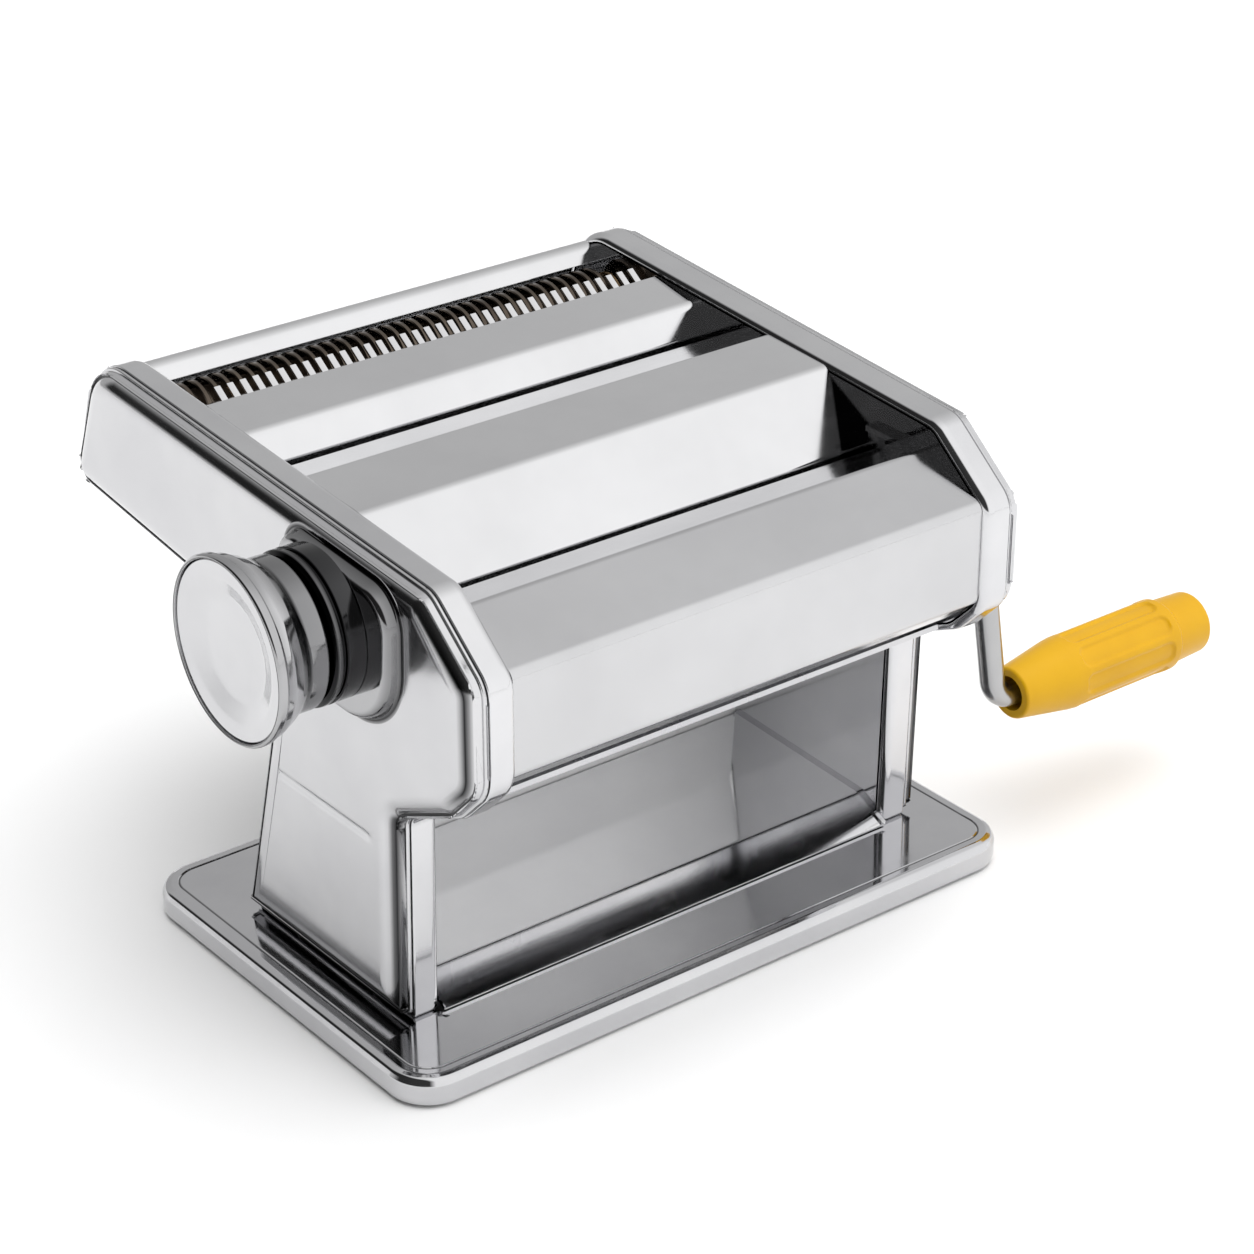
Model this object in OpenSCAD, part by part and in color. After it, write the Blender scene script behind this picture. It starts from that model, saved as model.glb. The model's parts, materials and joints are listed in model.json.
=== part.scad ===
// Hand-cranked pasta sheeter with two fixed cutters.
// X runs along the rollers (knob at -X, crank at +X), -Y is the front, Z is up.
// The origin is on the table, under the middle of the base tray.

/* [Base] */
// Length of the base tray along the rollers
base_l = 207; // [204:0.5:212]
// Depth of the base tray, front to back
base_w = 132; // [128:0.5:136]
// Height of the tray's top face over the table
base_h = 9.5; // [9:0.1:10]
// Corner radius of the tray seen from above
base_r = 12; // [8:1:20]

/* [Casings] */
// Distance from the middle to the inner face of each side frame
wall_x = 77; // [76.8:0.1:77.2]
// Width of the flange round each side frame
flange_w = 7.2; // [6.5:0.1:7.5]
// Outer face of the side covers, from the middle
face_x = 91; // [90.5:0.1:91.5]
// Sheet thickness of frames, covers and panels
sheet = 1.2; // [1:0.1:1.3]

/* [Sheet rollers] */
// Radius of the two smooth rollers
roller_r = 14; // [13.8:0.05:14]
// Height of the roller axes
roller_z = 98; // [97.5:0.5:98.5]
// Depth position of the driven roller's axis
drive_y = -49; // [-49.5:0.5:-48.5]
// Gap between the rollers at the widest setting
gap_max = 2.5; // [2.4:0.05:2.5]
// How far the idle roller travels towards the driven one
gap_travel = 2; // [1.5:0.1:2]

/* [Adjuster] */
// Depth position of the adjuster axis
dial_y = -18; // [-19:0.5:-17]
// Height of the adjuster axis
dial_z = 120.5; // [120:0.5:121]
// Turn from the widest to the thinnest setting
dial_turn = 240; // [200:10:260]
// Number of thickness settings
dial_steps = 9; // [7:1:9]

/* [Cutters] */
// Radius of the cutting discs
cutter_r = 9.5; // [9.4:0.05:9.6]
// Distance between the two axes of a cutter pair
cutter_span = 17.5; // [17.4:0.1:17.8]
// Width of the wide strips
wide_cut = 6.5; // [6:0.1:6.6]
// Width of the narrow strips
narrow_cut = 2; // [1.9:0.05:2]
// Middle of the wide cutter pair
wide_y = 39.5; // [39:0.5:40]
// Height of the wide cutter axes
wide_z = 116; // [115.5:0.5:116.5]
// Middle of the narrow cutter pair
narrow_y = 79; // [78.5:0.5:79.5]
// Height of the narrow cutter axes
narrow_z = 132; // [131.5:0.5:132]

/* [Crank] */
// Radius of the bent crank rod
rod_r = 3.7; // [3.5:0.05:3.75]
// Height of the grip's axis while the crank hangs down
grip_z = 43; // [40:1:48]
// Length of the grip
grip_l = 74; // [70:1:80]
// Largest radius of the grip
grip_r = 11; // [10:0.5:12]

/* [Hidden] */
$fn = 48;

idle_y = drive_y + 2 * roller_r + gap_max;
plate_x = wall_x + sheet;          // outer face of a frame plate
seam_x = plate_x + flange_w;       // outer edge of the frame's flange
cover_gap = 2;                     // covers stop this far over the base tray
run = 0.05;                        // radial clearance of a running fit
gear_x = 83;                       // inner face of the gears in the right casing
gear_w = 4.6;
carriage_x = plate_x + 0.3;
carriage_x1 = carriage_x + 2.4;
arc_steps = 8;                     // straight pieces in a rounded corner

// Side outline of a casing: [y, z, corner radius], counter-clockwise from the leg's rear foot.
casing = [[35.5, base_h, 1.5], [12.5, 98, 10], [116, 110.5, 7], [100.5, 150.7, 16], [-54, 140, 9],
    [-75.8, 122.5, 9], [-75.8, 92.5, 12], [-65, 81.5, 12], [-41, 70.5, 4], [-39.5, base_h, 1.5]];

// Sheet-metal panels: [y, z, bend radius] along the middle of each sheet.
front_path = [[-30.2, 117, 0], [-30.2, 123.2, 1.5], [-51.6, 131.2, 2.5], [-73.1, 122, 3],
    [-73.1, 94.5, 3], [-68, 89.6, 0]];
middle_path = [[37, 127, 0], [36.2, 135.2, 2], [14.4, 142.4, 3], [-9.8, 141, 3], [-25.4, 122.6, 2],
    [-26, 116.8, 0]];
rear_middle_path = [[64.5, 144.6, 0], [46.4, 142.4, 3], [42.3, 134.4, 2], [42, 127.5, 0]];
rear_path = [[93, 141.2, 0], [98.6, 149.6, 4], [113.4, 116.5, 3], [109.6, 114.6, 0]];
back_path = [[26.6, base_h + 0.7, 0], [26.2, 42, 10], [9, 94, 0]];
floor_path = [[25.4, 17.6, 0], [-29.5, 15.2, 4], [-41, base_h + 0.7, 0]];

// ---- outline helpers -------------------------------------------------------------------------

// Points of the arc that rounds corner b between its neighbours a and c.
function corner(a, b, c, r) =
    let (u = (a - b) / norm(a - b), v = (c - b) / norm(c - b), cosine = u * v)
    r <= 0 || abs(cosine) > 0.9999 ? [b] :
    let (half = acos(cosine) / 2, t = r / tan(half), m = b + (u + v) / norm(u + v) * r / sin(half),
         p = b + u * t - m, q = b + v * t - m, a0 = atan2(p.y, p.x),
         sweep = (atan2(q.y, q.x) - a0 + 540) % 360 - 180)
    [for (i = [0:arc_steps]) m + polar(r, a0 + sweep * i / arc_steps)];

// Closed outline with every corner [y, z, radius] rounded.
function rounded(path) =
    let (n = len(path), xy = [for (p = path) [p[0], p[1]]])
    [for (i = [0:n - 1]) each corner(xy[(i + n - 1) % n], xy[i], xy[(i + 1) % n], path[i][2])];

function unit(a, b) = (b - a) / norm(b - a);
function left_of(u) = [-u.y, u.x];

// Corner list moved inwards by d (counter-clockwise outline); radii follow.
function inset(path, d) =
    let (n = len(path), xy = [for (p = path) [p[0], p[1]]])
    [for (i = [0:n - 1])
        let (u = unit(xy[(i + n - 1) % n], xy[i]), v = unit(xy[i], xy[(i + 1) % n]),
             nu = left_of(u), nv = left_of(v), bend = u.x * v.y - u.y * v.x,
             p = xy[i] + (nu + nv) * d / (1 + nu * nv))
        [p.x, p.y, max(0.3, path[i][2] - sign(bend) * d)]];

// Closed outline of a bent sheet of thickness t along an open path [y, z, bend radius].
function ribbon(path, t) =
    let (n = len(path), xy = [for (p = path) [p[0], p[1]]],
         side = function (s) [for (i = [0:n - 1])
            let (u = unit(xy[max(i - 1, 0)], xy[max(i, 1)]),
                 v = unit(xy[min(i, n - 2)], xy[min(i + 1, n - 1)]),
                 nu = left_of(u), nv = left_of(v), bend = sign(u.x * v.y - u.y * v.x),
                 p = xy[i] + (nu + nv) * s * t / 2 / (1 + nu * nv))
            [p.x, p.y, path[i][2] > 0 ? max(0.2, path[i][2] - bend * s * t / 2) : 0]],
         back = side(1))
    rounded(concat(side(-1), [for (i = [n - 1:-1:0]) back[i]]));

// Extrudes a 2D shape drawn in (y, z) along X.
module along_x(x0, x1) {
    translate([x0, 0, 0]) rotate([90, 0, 90]) linear_extrude(x1 - x0) children();
}

module rod_x(x0, x1, y, z, r) {
    translate([x0, y, z]) rotate([0, 90, 0]) cylinder(h = x1 - x0, r = r);
}

module tube_x(x0, x1, y, z, r, bore) {
    difference() {
        rod_x(x0, x1, y, z, r);
        rod_x(x0 - 1, x1 + 1, y, z, bore);
    }
}

module block(x0, x1, y0, y1, z0, z1) {
    translate([x0, y0, z0]) cube([x1 - x0, y1 - y0, z1 - z0]);
}

module bent_sheet(path, t, x1) {
    along_x(-x1, x1) polygon(ribbon(path, t));
}

// Copies its children to both sides.
module both_sides() {
    children();
    mirror([1, 0, 0]) children();
}

// ---- base ------------------------------------------------------------------------------------

hem_z = 1;                         // hem clears the table by this much
hem_h = 3;
hem_out = 1.2;                     // hem bead stands this far out of the tray's wall
screw_x = 82;
screw_ys = [-20, 16];
clamp_y = 54;
clamp_r = 5;

module tray_slab(z0, z1, d) {
    translate([0, 0, z0]) linear_extrude(z1 - z0)
        polygon(rounded([for (s = [[1, -1], [1, 1], [-1, 1], [-1, -1]])
            [s.x * (base_l / 2 - d), s.y * (base_w / 2 - d), base_r - d]]));
}

module base_tray() {
    color("gainsboro") difference() {
        union() {
            tray_slab(hem_z, hem_z + hem_h, 0);
            tray_slab(hem_z, base_h - 1.5, hem_out);
            tray_slab(hem_z, base_h, hem_out + 1.5);
        }
        tray_slab(hem_z - 1, base_h - sheet, hem_out + 2.5);
        for (x = [-screw_x, screw_x], y = screw_ys) translate([x, y, 0]) cylinder(h = 20, r = 2.1);
        translate([0, clamp_y, 0]) cylinder(h = 20, r = clamp_r + 0.8);
    }
}

module base_feet() {
    foot_h = base_h - sheet;
    color("dimgray") for (p = [[-90, -54], [90, -54], [90, 54], [-90, 54], [0, 0]]) translate(p) {
        cylinder(h = foot_h - 2, r1 = 5.5, r2 = 6.5);
        translate([0, 0, foot_h - 2]) cylinder(h = 2, r = 4.5);
    }
}

module base_screws() {
    color("silver") for (x = [-screw_x, screw_x], y = screw_ys) translate([x, y, 0]) {
        translate([0, 0, base_h - sheet - 2]) cylinder(h = 2, r = 3.6);
        translate([0, 0, base_h - sheet]) cylinder(h = 2 * sheet, r = 2);
        translate([0, 0, base_h + sheet]) cylinder(h = 2.4, r = 3.4, $fn = 6);
    }
}

module clamp_socket() {
    color("silver") translate([0, clamp_y, hem_z + 0.3]) difference() {
        union() {
            cylinder(h = base_h - sheet - hem_z - 0.3, r = clamp_r + 2);
            translate([-12, -4, base_h - sheet - hem_z - 1.8]) cube([24, 8, 1.5]);
        }
        translate([0, 0, -1]) cylinder(h = 20, r = clamp_r);
    }
}

// ---- frames and covers -----------------------------------------------------------------------

bush_r = 8;
cutter_bush_r = 6.9;
spindle_bush_r = 5.5;
tie_points = [[-66.5, 112], [4, 90], [100, 115]];
tie_r = 4;
tie_screw_r = 2;
cutter_axes = [[wide_y - cutter_span / 2, wide_z], [wide_y + cutter_span / 2, wide_z],
    [narrow_y - cutter_span / 2, narrow_z], [narrow_y + cutter_span / 2, narrow_z]];
crank_axes = [[drive_y, roller_z], cutter_axes[1], cutter_axes[3]];
idle_slot = 7;                     // half height of the carriage's window in the frame

// Frame on the +X side: plate, flange and bearing holes.
module frame() {
    difference() {
        union() {
            along_x(wall_x, plate_x) polygon(rounded(casing));
            along_x(wall_x, seam_x) difference() {
                polygon(rounded(casing));
                polygon(rounded(inset(casing, sheet)));
            }
        }
        rod_x(wall_x - 1, plate_x + 1, drive_y, roller_z, bush_r);
        for (y = [idle_y - gap_travel, idle_y]) rod_x(wall_x - 1, plate_x + 1, y, roller_z, idle_slot);
        block(wall_x - 1, plate_x + 1, idle_y - gap_travel, idle_y, roller_z - idle_slot,
            roller_z + idle_slot);
        rod_x(wall_x - 1, plate_x + 1, dial_y, dial_z, spindle_bush_r);
        for (p = cutter_axes) rod_x(wall_x - 1, plate_x + 1, p.x, p.y, cutter_bush_r);
        for (p = tie_points) rod_x(wall_x - 1, plate_x + 1, p.x, p.y, tie_screw_r + 0.1);
        for (y = screw_ys) translate([screw_x, y, 0]) cylinder(h = 20, r = 2.1);
    }
}

module left_frame() {
    color("gainsboro") mirror([1, 0, 0]) frame();
}

module right_frame() {
    color("gainsboro") frame();
}

cover_in = 0.9;                    // the cover sits this far inside the flange's outline

// One layer of a cover between x0 and x1, inset by d, its foot clear of the base tray.
module cover_layer(x0, x1, d) {
    intersection() {
        along_x(x0, x1) polygon(rounded(inset(casing, d)));
        block(x0 - 1, x1 + 1, -100, 140, base_h + cover_gap + max(0, d - cover_in), 170);
    }
}

// Cover on the +X side: a shell open towards the frame, with a stepped shoulder.
module cover() {
    difference() {
        union() {
            cover_layer(seam_x, face_x - 1.6, cover_in);
            cover_layer(face_x - 1.7, face_x - 0.8, cover_in + 0.8);
            cover_layer(face_x - 0.9, face_x, cover_in + 2);
        }
        cover_layer(seam_x - 1, face_x - 1, cover_in + 2.2);
    }
}

module right_cover() {
    color("gainsboro") difference() {
        cover();
        for (p = crank_axes) rod_x(face_x - 3, face_x + 1, p.x, p.y, 7);
    }
}

// Outline of the drawn boss under the dial ring: [y, z, corner radius].
boss = [[-46, 96.2, 20], [3, 98, 20], [3, 140.2, 9], [-48, 136.8, 11]];
boss_h = 4;

module boss_layer(x0, x1, d) {
    along_x(x0, x1) polygon(rounded(inset(boss, d)));
}

module left_cover() {
    color("gainsboro") difference() {
        union() {
            mirror([1, 0, 0]) cover();
            boss_layer(-face_x - boss_h + 1.5, -face_x + 0.9, 0);
            boss_layer(-face_x - boss_h, -face_x, 1.5);
        }
        boss_layer(-face_x - boss_h + 1, -face_x + 3, 2.5);
        rod_x(-face_x - 10, -face_x + 3, dial_y, dial_z, 8);
    }
}

module socket_ferrules() {
    color("darkgray") for (p = crank_axes) {
        tube_x(face_x - 2.4, face_x, p.x, p.y, 7, 6.2);
        tube_x(face_x, face_x + 0.6, p.x, p.y, 8.5, 6.2);
    }
}

// ---- sheet panels ----------------------------------------------------------------------------

module front_cover() {
    color("whitesmoke") bent_sheet(front_path, 1, wall_x);
}

module middle_panel() {
    color("whitesmoke") bent_sheet(middle_path, 1, wall_x);
}

module rear_middle_panel() {
    color("whitesmoke") bent_sheet(rear_middle_path, 1, wall_x);
}

module rear_cover() {
    color("whitesmoke") bent_sheet(rear_path, 1, wall_x);
}

module back_panel() {
    color("gainsboro") bent_sheet(back_path, 0.8, wall_x);
}

module floor_chute() {
    color("gainsboro") bent_sheet(floor_path, 0.8, wall_x);
}

// Short strips over the roller ends that keep the dough off the side frames.
module side_guides() {
    color("silver") both_sides() {
        block(wall_x - 2.4, wall_x, drive_y + 6, drive_y + 19.4, 129.6, 131.2);
        block(wall_x - 1.4, wall_x, drive_y + 15.5, drive_y + 19.4, 125.6, 129.7);
    }
}

// ---- fixed structure -------------------------------------------------------------------------

module tie_rods() {
    color("silver") for (p = tie_points) difference() {
        rod_x(-wall_x, wall_x, p.x, p.y, tie_r);
        for (x = [-wall_x - 1, wall_x - 12]) rod_x(x, x + 13, p.x, p.y, tie_screw_r + 0.02);
    }
}

module tie_rod_screws() {
    color("silver") both_sides() for (p = tie_points) {
        rod_x(wall_x - 8, plate_x, p.x, p.y, tie_screw_r);
        rod_x(plate_x, plate_x + 2.2, p.x, p.y, 3.6);
    }
}

module flanged_bush(x, y, z, r, bore) {
    tube_x(wall_x - 0.6, x, y, z, r, bore);
    tube_x(x, x + 0.7, y, z, r + 1.4, bore);
}

drive_shaft_r = 6;
cutter_shaft_r = 5.5;
spindle_r = 3.5;

module drive_bushes() {
    color("peru") both_sides()
        flanged_bush(plate_x, drive_y, roller_z, bush_r, drive_shaft_r + run);
}

module cutter_bushes() {
    color("peru") both_sides() for (p = cutter_axes)
        flanged_bush(plate_x, p.x, p.y, cutter_bush_r, cutter_shaft_r + run);
}

module spindle_bushes() {
    color("peru") both_sides() {
        tube_x(wall_x - 2.2, plate_x, dial_y, dial_z, spindle_bush_r, spindle_r + run);
        tube_x(wall_x - 2.9, wall_x - 2.2, dial_y, dial_z, spindle_bush_r + 0.5, spindle_r + run);
    }
}

module front_scraper() {
    color("silver") along_x(-wall_x, wall_x)
        polygon([[drive_y - 10, roller_z - 16.4], [drive_y - 10, roller_z - 18],
            [drive_y - 4, roller_z - 18.5], [drive_y - 2.5, roller_z - roller_r - 0.4],
            [drive_y - 4.2, roller_z - roller_r - 1.2], [drive_y - 5, roller_z - 16.6]]);
}

// ---- gears -----------------------------------------------------------------------------------

function involute(a) = tan(a) * 180 / PI - a;

// Half angle of a tooth at radius r, for base radius rb and half angle h at pitch radius rp.
function flank(r, rb, rp, h) = h + involute(acos(rb / rp)) - involute(acos(min(1, rb / max(r, rb))));

function polar(r, a) = r * [cos(a), sin(a)];

// Spur gear outline: n teeth, pitch, tip and root radii, tooth half angle at the pitch circle.
function gear_outline(n, rp, ra, rf, h) =
    let (rb = rp * cos(20), steps = 4, rs = max(rb, rf), foot = flank(rb, rb, rp, h),
         side = [for (i = [0:steps]) let (r = rs + (ra - rs) * i / steps) [r, flank(r, rb, rp, h)]])
    [for (k = [0:n - 1]) let (a = 360 * k / n) each concat(
        [polar(rf, a - foot)],
        [for (i = [0:steps]) polar(side[i][0], a - side[i][1])],
        [for (i = [steps:-1:0]) polar(side[i][0], a + side[i][1])],
        [polar(rf, a + foot)])];

module gear_x_axis(y, z, turn, outline, bore) {
    translate([gear_x, y, z]) rotate([90, 0, 90]) rotate(turn) linear_extrude(gear_w) difference() {
        polygon(outline);
        circle(r = bore);
    }
}

roller_teeth = 14;
roller_gear = gear_outline(roller_teeth, roller_r + 0.25, 15.95, 12.1, 5);
cutter_teeth = 10;
cutter_gear = gear_outline(cutter_teeth, cutter_span / 2, 9.75, 7.4, 7.6);

module drive_gear() {
    color("dimgray") gear_x_axis(drive_y, roller_z, 0, roller_gear, drive_shaft_r - 0.5);
}

module idle_gear() {
    color("dimgray") gear_x_axis(idle_y, roller_z, 180 + 180 / roller_teeth, roller_gear, 5);
}

module cutter_gear_at(p, turn) {
    color("dimgray") gear_x_axis(p.x, p.y, turn, cutter_gear, cutter_shaft_r);
}

// ---- sheet rollers ---------------------------------------------------------------------------

roller_end = wall_x - 1;
socket_r = rod_r + 0.08;
socket_l = 14;
cutter_socket_l = 10;
shaft_end = face_x - 1.5;

module drive_roller() {
    color("silver") tube_x(-roller_end, roller_end, drive_y, roller_z, roller_r, drive_shaft_r + 0.4);
}

module drive_shaft() {
    color("silver") difference() {
        union() {
            rod_x(-plate_x - 3, gear_x - 0.2, drive_y, roller_z, drive_shaft_r);
            rod_x(gear_x - 0.2, shaft_end, drive_y, roller_z, drive_shaft_r - 0.5);
            for (x = [-roller_end, roller_end - 4]) rod_x(x, x + 4, drive_y, roller_z, drive_shaft_r + 0.4);
        }
        rod_x(shaft_end - socket_l, shaft_end + 1, drive_y, roller_z, socket_r);
    }
}

module idle_roller() {
    color("silver") tube_x(-roller_end, roller_end, idle_y, roller_z, roller_r, 5.4);
}

module idle_shaft() {
    color("silver") {
        rod_x(-carriage_x1 - 1, gear_x + gear_w + 1, idle_y, roller_z, 5);
        for (x = [-roller_end, roller_end - 4]) rod_x(x, x + 4, idle_y, roller_z, 5.4);
    }
}

// ---- thickness adjuster ----------------------------------------------------------------------

cam_low = 6;
cam_seat = 0.05;
pad_y = dial_y - cam_low - cam_seat;
cam_steps = 48;
cam_lead = 60;                     // the cam's step lies this far before the pad at rest

// Carriage on the +X side: bearing plate, and an arm whose pad rests on the cam's front.
module carriage() {
    difference() {
        union() {
            block(carriage_x, carriage_x1, idle_y - 10, idle_y + 10, roller_z - 9, roller_z + 9);
            block(carriage_x, carriage_x1, pad_y - 5, pad_y - 1, roller_z + 8.9, dial_z + 1.5);
            block(carriage_x, carriage_x1, pad_y - 1.1, pad_y, dial_z - 1.5, dial_z + 1.5);
        }
        rod_x(carriage_x - 1, carriage_x1 + 1, idle_y, roller_z, 6.5);
    }
}

module left_carriage() {
    color("darkgray") mirror([1, 0, 0]) carriage();
}

module right_carriage() {
    color("darkgray") carriage();
}

module carriage_bushes() {
    color("peru") both_sides()
        tube_x(wall_x - 0.6, carriage_x1, idle_y, roller_z, 6.5, 5 + run);
}

module carriage_rails() {
    color("silver") both_sides() for (z = [roller_z - 12.2, roller_z + 9.2])
        block(plate_x, carriage_x1 + 0.4, idle_y - 5, idle_y + 12, z, z + 3);
}

module rear_scraper() {
    color("silver") {
        along_x(-wall_x, wall_x)
            polygon([[idle_y + 9, roller_z - 17.4], [idle_y + 4.2, roller_z - 16.2],
                [idle_y + 2.5, roller_z - roller_r - 0.4], [idle_y + 3.8, roller_z - roller_r - 1.3],
                [idle_y + 5, roller_z - 15.2], [idle_y + 9, roller_z - 16.2]]);
    }
}

// Snail cam: its radius towards the front grows evenly as the spindle turns.
module cam(x0, x1) {
    difference() {
        along_x(x0, x1) translate([dial_y, dial_z]) polygon([for (i = [0:cam_steps])
            let (a = 360 * i / cam_steps, grow = min(max((a - cam_lead) / dial_turn, 0), 1))
            (cam_low + gap_travel * grow) * [-cos(a - cam_lead), sin(a - cam_lead)]]);
        rod_x(x0 - 1, x1 + 1, dial_y, dial_z, spindle_r);
    }
}

module left_cam() {
    color("peru") cam(-carriage_x1, -carriage_x);
}

module right_cam() {
    color("peru") cam(carriage_x, carriage_x1);
}

knob_tip = 123;                    // outer end of the knob, from the middle
ring_x0 = face_x + boss_h;
ring_x1 = ring_x0 + 9;
ring_r = 20.5;
knob_x0 = ring_x1 + 1;
pin_r = 1.4;
pin_at = 14.5;                     // distance of the index pin from the axis

module adjuster_spindle() {
    color("silver") {
        rod_x(-knob_tip + 9, carriage_x1 + 1, dial_y, dial_z, spindle_r);
        rod_x(-knob_tip + 6, -knob_tip + 9, dial_y, dial_z, 6);
    }
}

// Fixed ring with a track for the index pin and one hole for each setting.
module dial_ring() {
    color("silver") difference() {
        union() {
            rod_x(-ring_x1, -ring_x0, dial_y, dial_z, ring_r - 1);
            rod_x(-ring_x1 + 1.2, -ring_x0, dial_y, dial_z, ring_r);
        }
        rod_x(-ring_x1 - 1, -ring_x0 + 1, dial_y, dial_z, spindle_r + 0.5);
        difference() {
            rod_x(-ring_x1 - 1, -ring_x1 + 3, dial_y, dial_z, pin_at + pin_r + 0.6);
            rod_x(-ring_x1 - 2, -ring_x1 + 4, dial_y, dial_z, pin_at - pin_r - 0.6);
        }
        for (i = [0:dial_steps - 1]) {
            a = 90 - i * dial_turn / (dial_steps - 1);
            p = [dial_y, dial_z] + polar(pin_at, a);
            rod_x(-ring_x1 + 2, -ring_x1 + 6, p.x, p.y, pin_r + 0.2);
        }
    }
}

module knob_spring() {
    color("silver") translate([-knob_x0 - 8.4, dial_y, dial_z]) rotate([0, 90, 0]) {
        for (i = [0:2]) translate([0, 0, i * 1.4]) rotate_extrude() translate([5, 0]) circle(r = 0.55);
        translate([5, 0, 0]) cylinder(h = 2.8, r = 0.45);
    }
}

// Hollow knob: a neck, a waist and a wider skirt that closes at the rim.
module knob_shell() {
    color("gainsboro") difference() {
        translate([0, dial_y, dial_z]) rotate([0, -90, 0]) rotate_extrude() polygon(knob_profile);
        rod_x(-knob_x0 - 3, -knob_x0 + 1, dial_y, dial_z + pin_at, pin_r);
    }
}

knob_profile = [
    [spindle_r + 0.5, knob_x0], [19, knob_x0], [20.4, knob_x0 + 1], [20.4, knob_x0 + 7],
    [21.2, knob_x0 + 8], [24, knob_x0 + 11.5], [24.6, knob_tip - 2.5], [25.2, knob_tip - 1.6],
    [25.2, knob_tip - 0.6], [24.6, knob_tip], [23.6, knob_tip], [23.6, knob_tip - 2.6],
    [22.8, knob_tip - 3.2], [22.6, knob_x0 + 12], [19, knob_x0 + 8], [19, knob_x0 + 1.6],
    [spindle_r + 0.5, knob_x0 + 1.6]];

module knob_cap() {
    color("whitesmoke") translate([0, dial_y, dial_z]) rotate([0, -90, 0]) rotate_extrude()
        polygon([[0, knob_tip - 2.2], [14, knob_tip - 2.2], [18, knob_tip - 0.6], [23.6, knob_tip - 0.5],
            [23.6, knob_tip - 1.7], [18.5, knob_tip - 1.8], [14.5, knob_tip - 3.2], [0, knob_tip - 3.2]]);
}

module index_pin() {
    color("silver") {
        rod_x(-knob_x0 - 1.6, -ring_x1 + 2.4, dial_y, dial_z + pin_at, pin_r);
        rod_x(-knob_x0 - 3, -knob_x0 - 1.6, dial_y, dial_z + pin_at, 2.4);
    }
}

// ---- cutters ---------------------------------------------------------------------------------

cut_half = 72;                     // half the cutting width
cut_core = 8;                      // radius between the discs
side_gap = 0.15;

// One cutter roll: evenly spaced discs on a core, shifted by phase strips.
module cutter_roll(p, cut, phase, x_end) {
    n = floor(cut_half / cut / 2) * 2;
    difference() {
        union() {
            rod_x(-plate_x - 2.4, x_end, p.x, p.y, cutter_shaft_r);
            rod_x(-cut_half - 2, cut_half + 2, p.x, p.y, cut_core - 0.6);
            for (k = [-n / 2:n / 2 - 1]) {
                x = (2 * k + phase) * cut;
                rod_x(x + side_gap, x + cut - side_gap, p.x, p.y, cutter_r);
            }
        }
        if (x_end == shaft_end)
            rod_x(x_end - cutter_socket_l, x_end + 1, p.x, p.y, socket_r);
    }
}

blind_end = gear_x + gear_w + 0.8;

module wide_cutter_front() {
    color("rosybrown") cutter_roll(cutter_axes[0], wide_cut, 0, blind_end);
}

module wide_cutter_rear() {
    color("rosybrown") cutter_roll(cutter_axes[1], wide_cut, 1, shaft_end);
}

module narrow_cutter_front() {
    color("rosybrown") cutter_roll(cutter_axes[2], narrow_cut, 0, blind_end);
}

module narrow_cutter_rear() {
    color("rosybrown") cutter_roll(cutter_axes[3], narrow_cut, 1, shaft_end);
}

module wide_gear_front() {
    cutter_gear_at(cutter_axes[0], 0);
}

module wide_gear_rear() {
    cutter_gear_at(cutter_axes[1], 180 / cutter_teeth);
}

module narrow_gear_front() {
    cutter_gear_at(cutter_axes[2], 0);
}

module narrow_gear_rear() {
    cutter_gear_at(cutter_axes[3], 180 / cutter_teeth);
}

// Stripping comb beside the roll at p: a bar, and one finger in each groove. s is the outer side.
module lower_comb(p, cut, phase, s) {
    n = floor(cut_half / cut / 2) * 2;
    inset_x = 0.35;
    along_x(-wall_x, wall_x) translate([p.x + s * 13.5, p.y - 9.5]) square([1.2, 1.6], center = true);
    for (k = [-n / 2:n / 2 - 1]) {
        x = (2 * k + 1 - phase) * cut;
        along_x(x + inset_x, x + cut - inset_x) translate(p)
            polygon([[s * 13.5, -10], [s * 13.5, -8.6], [s * 7.4, -3.4], [s * 6.8, -4.4]]);
    }
}

module wide_combs() {
    color("silver") {
        lower_comb(cutter_axes[0], wide_cut, 0, -1);
        lower_comb(cutter_axes[1], wide_cut, 1, 1);
    }
}

module narrow_combs() {
    color("silver") {
        lower_comb(cutter_axes[2], narrow_cut, 0, -1);
        lower_comb(cutter_axes[3], narrow_cut, 1, 1);
    }
}

comb_path = [[57, 142.7, 0], [64.8, 143.6, 1], [69.8, 147, 0]];

// Toothed guard over the front narrow roll: a strip whose fingers rise behind the panel's edge.
module top_comb() {
    n = floor(cut_half / narrow_cut / 2) * 2;
    color("whitesmoke") {
        intersection() {
            bent_sheet(comb_path, 0.8, wall_x);
            block(-wall_x, wall_x, 50, 65.4, 130, 160);
        }
        for (k = [-n / 2:n / 2 - 1]) {
            x = (2 * k + 1) * narrow_cut;
            along_x(x, x + narrow_cut) polygon(ribbon(comb_path, 0.8));
        }
    }
}

// ---- crank -----------------------------------------------------------------------------------

splay = 9.2;                       // the arm leans outwards by this angle
hub_x = 101;                       // where the arm's line meets the shaft's axis
elbow_r = 8;
arm_turn = 90 - splay;
elbow_t = elbow_r * tan(arm_turn / 2);
arm_h = roller_z - grip_z;
foot_x = hub_x + arm_h * tan(splay);
grip_x0 = 116;
grip_x1 = grip_x0 + grip_l;
rod_end = grip_x1 - 8;

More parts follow.
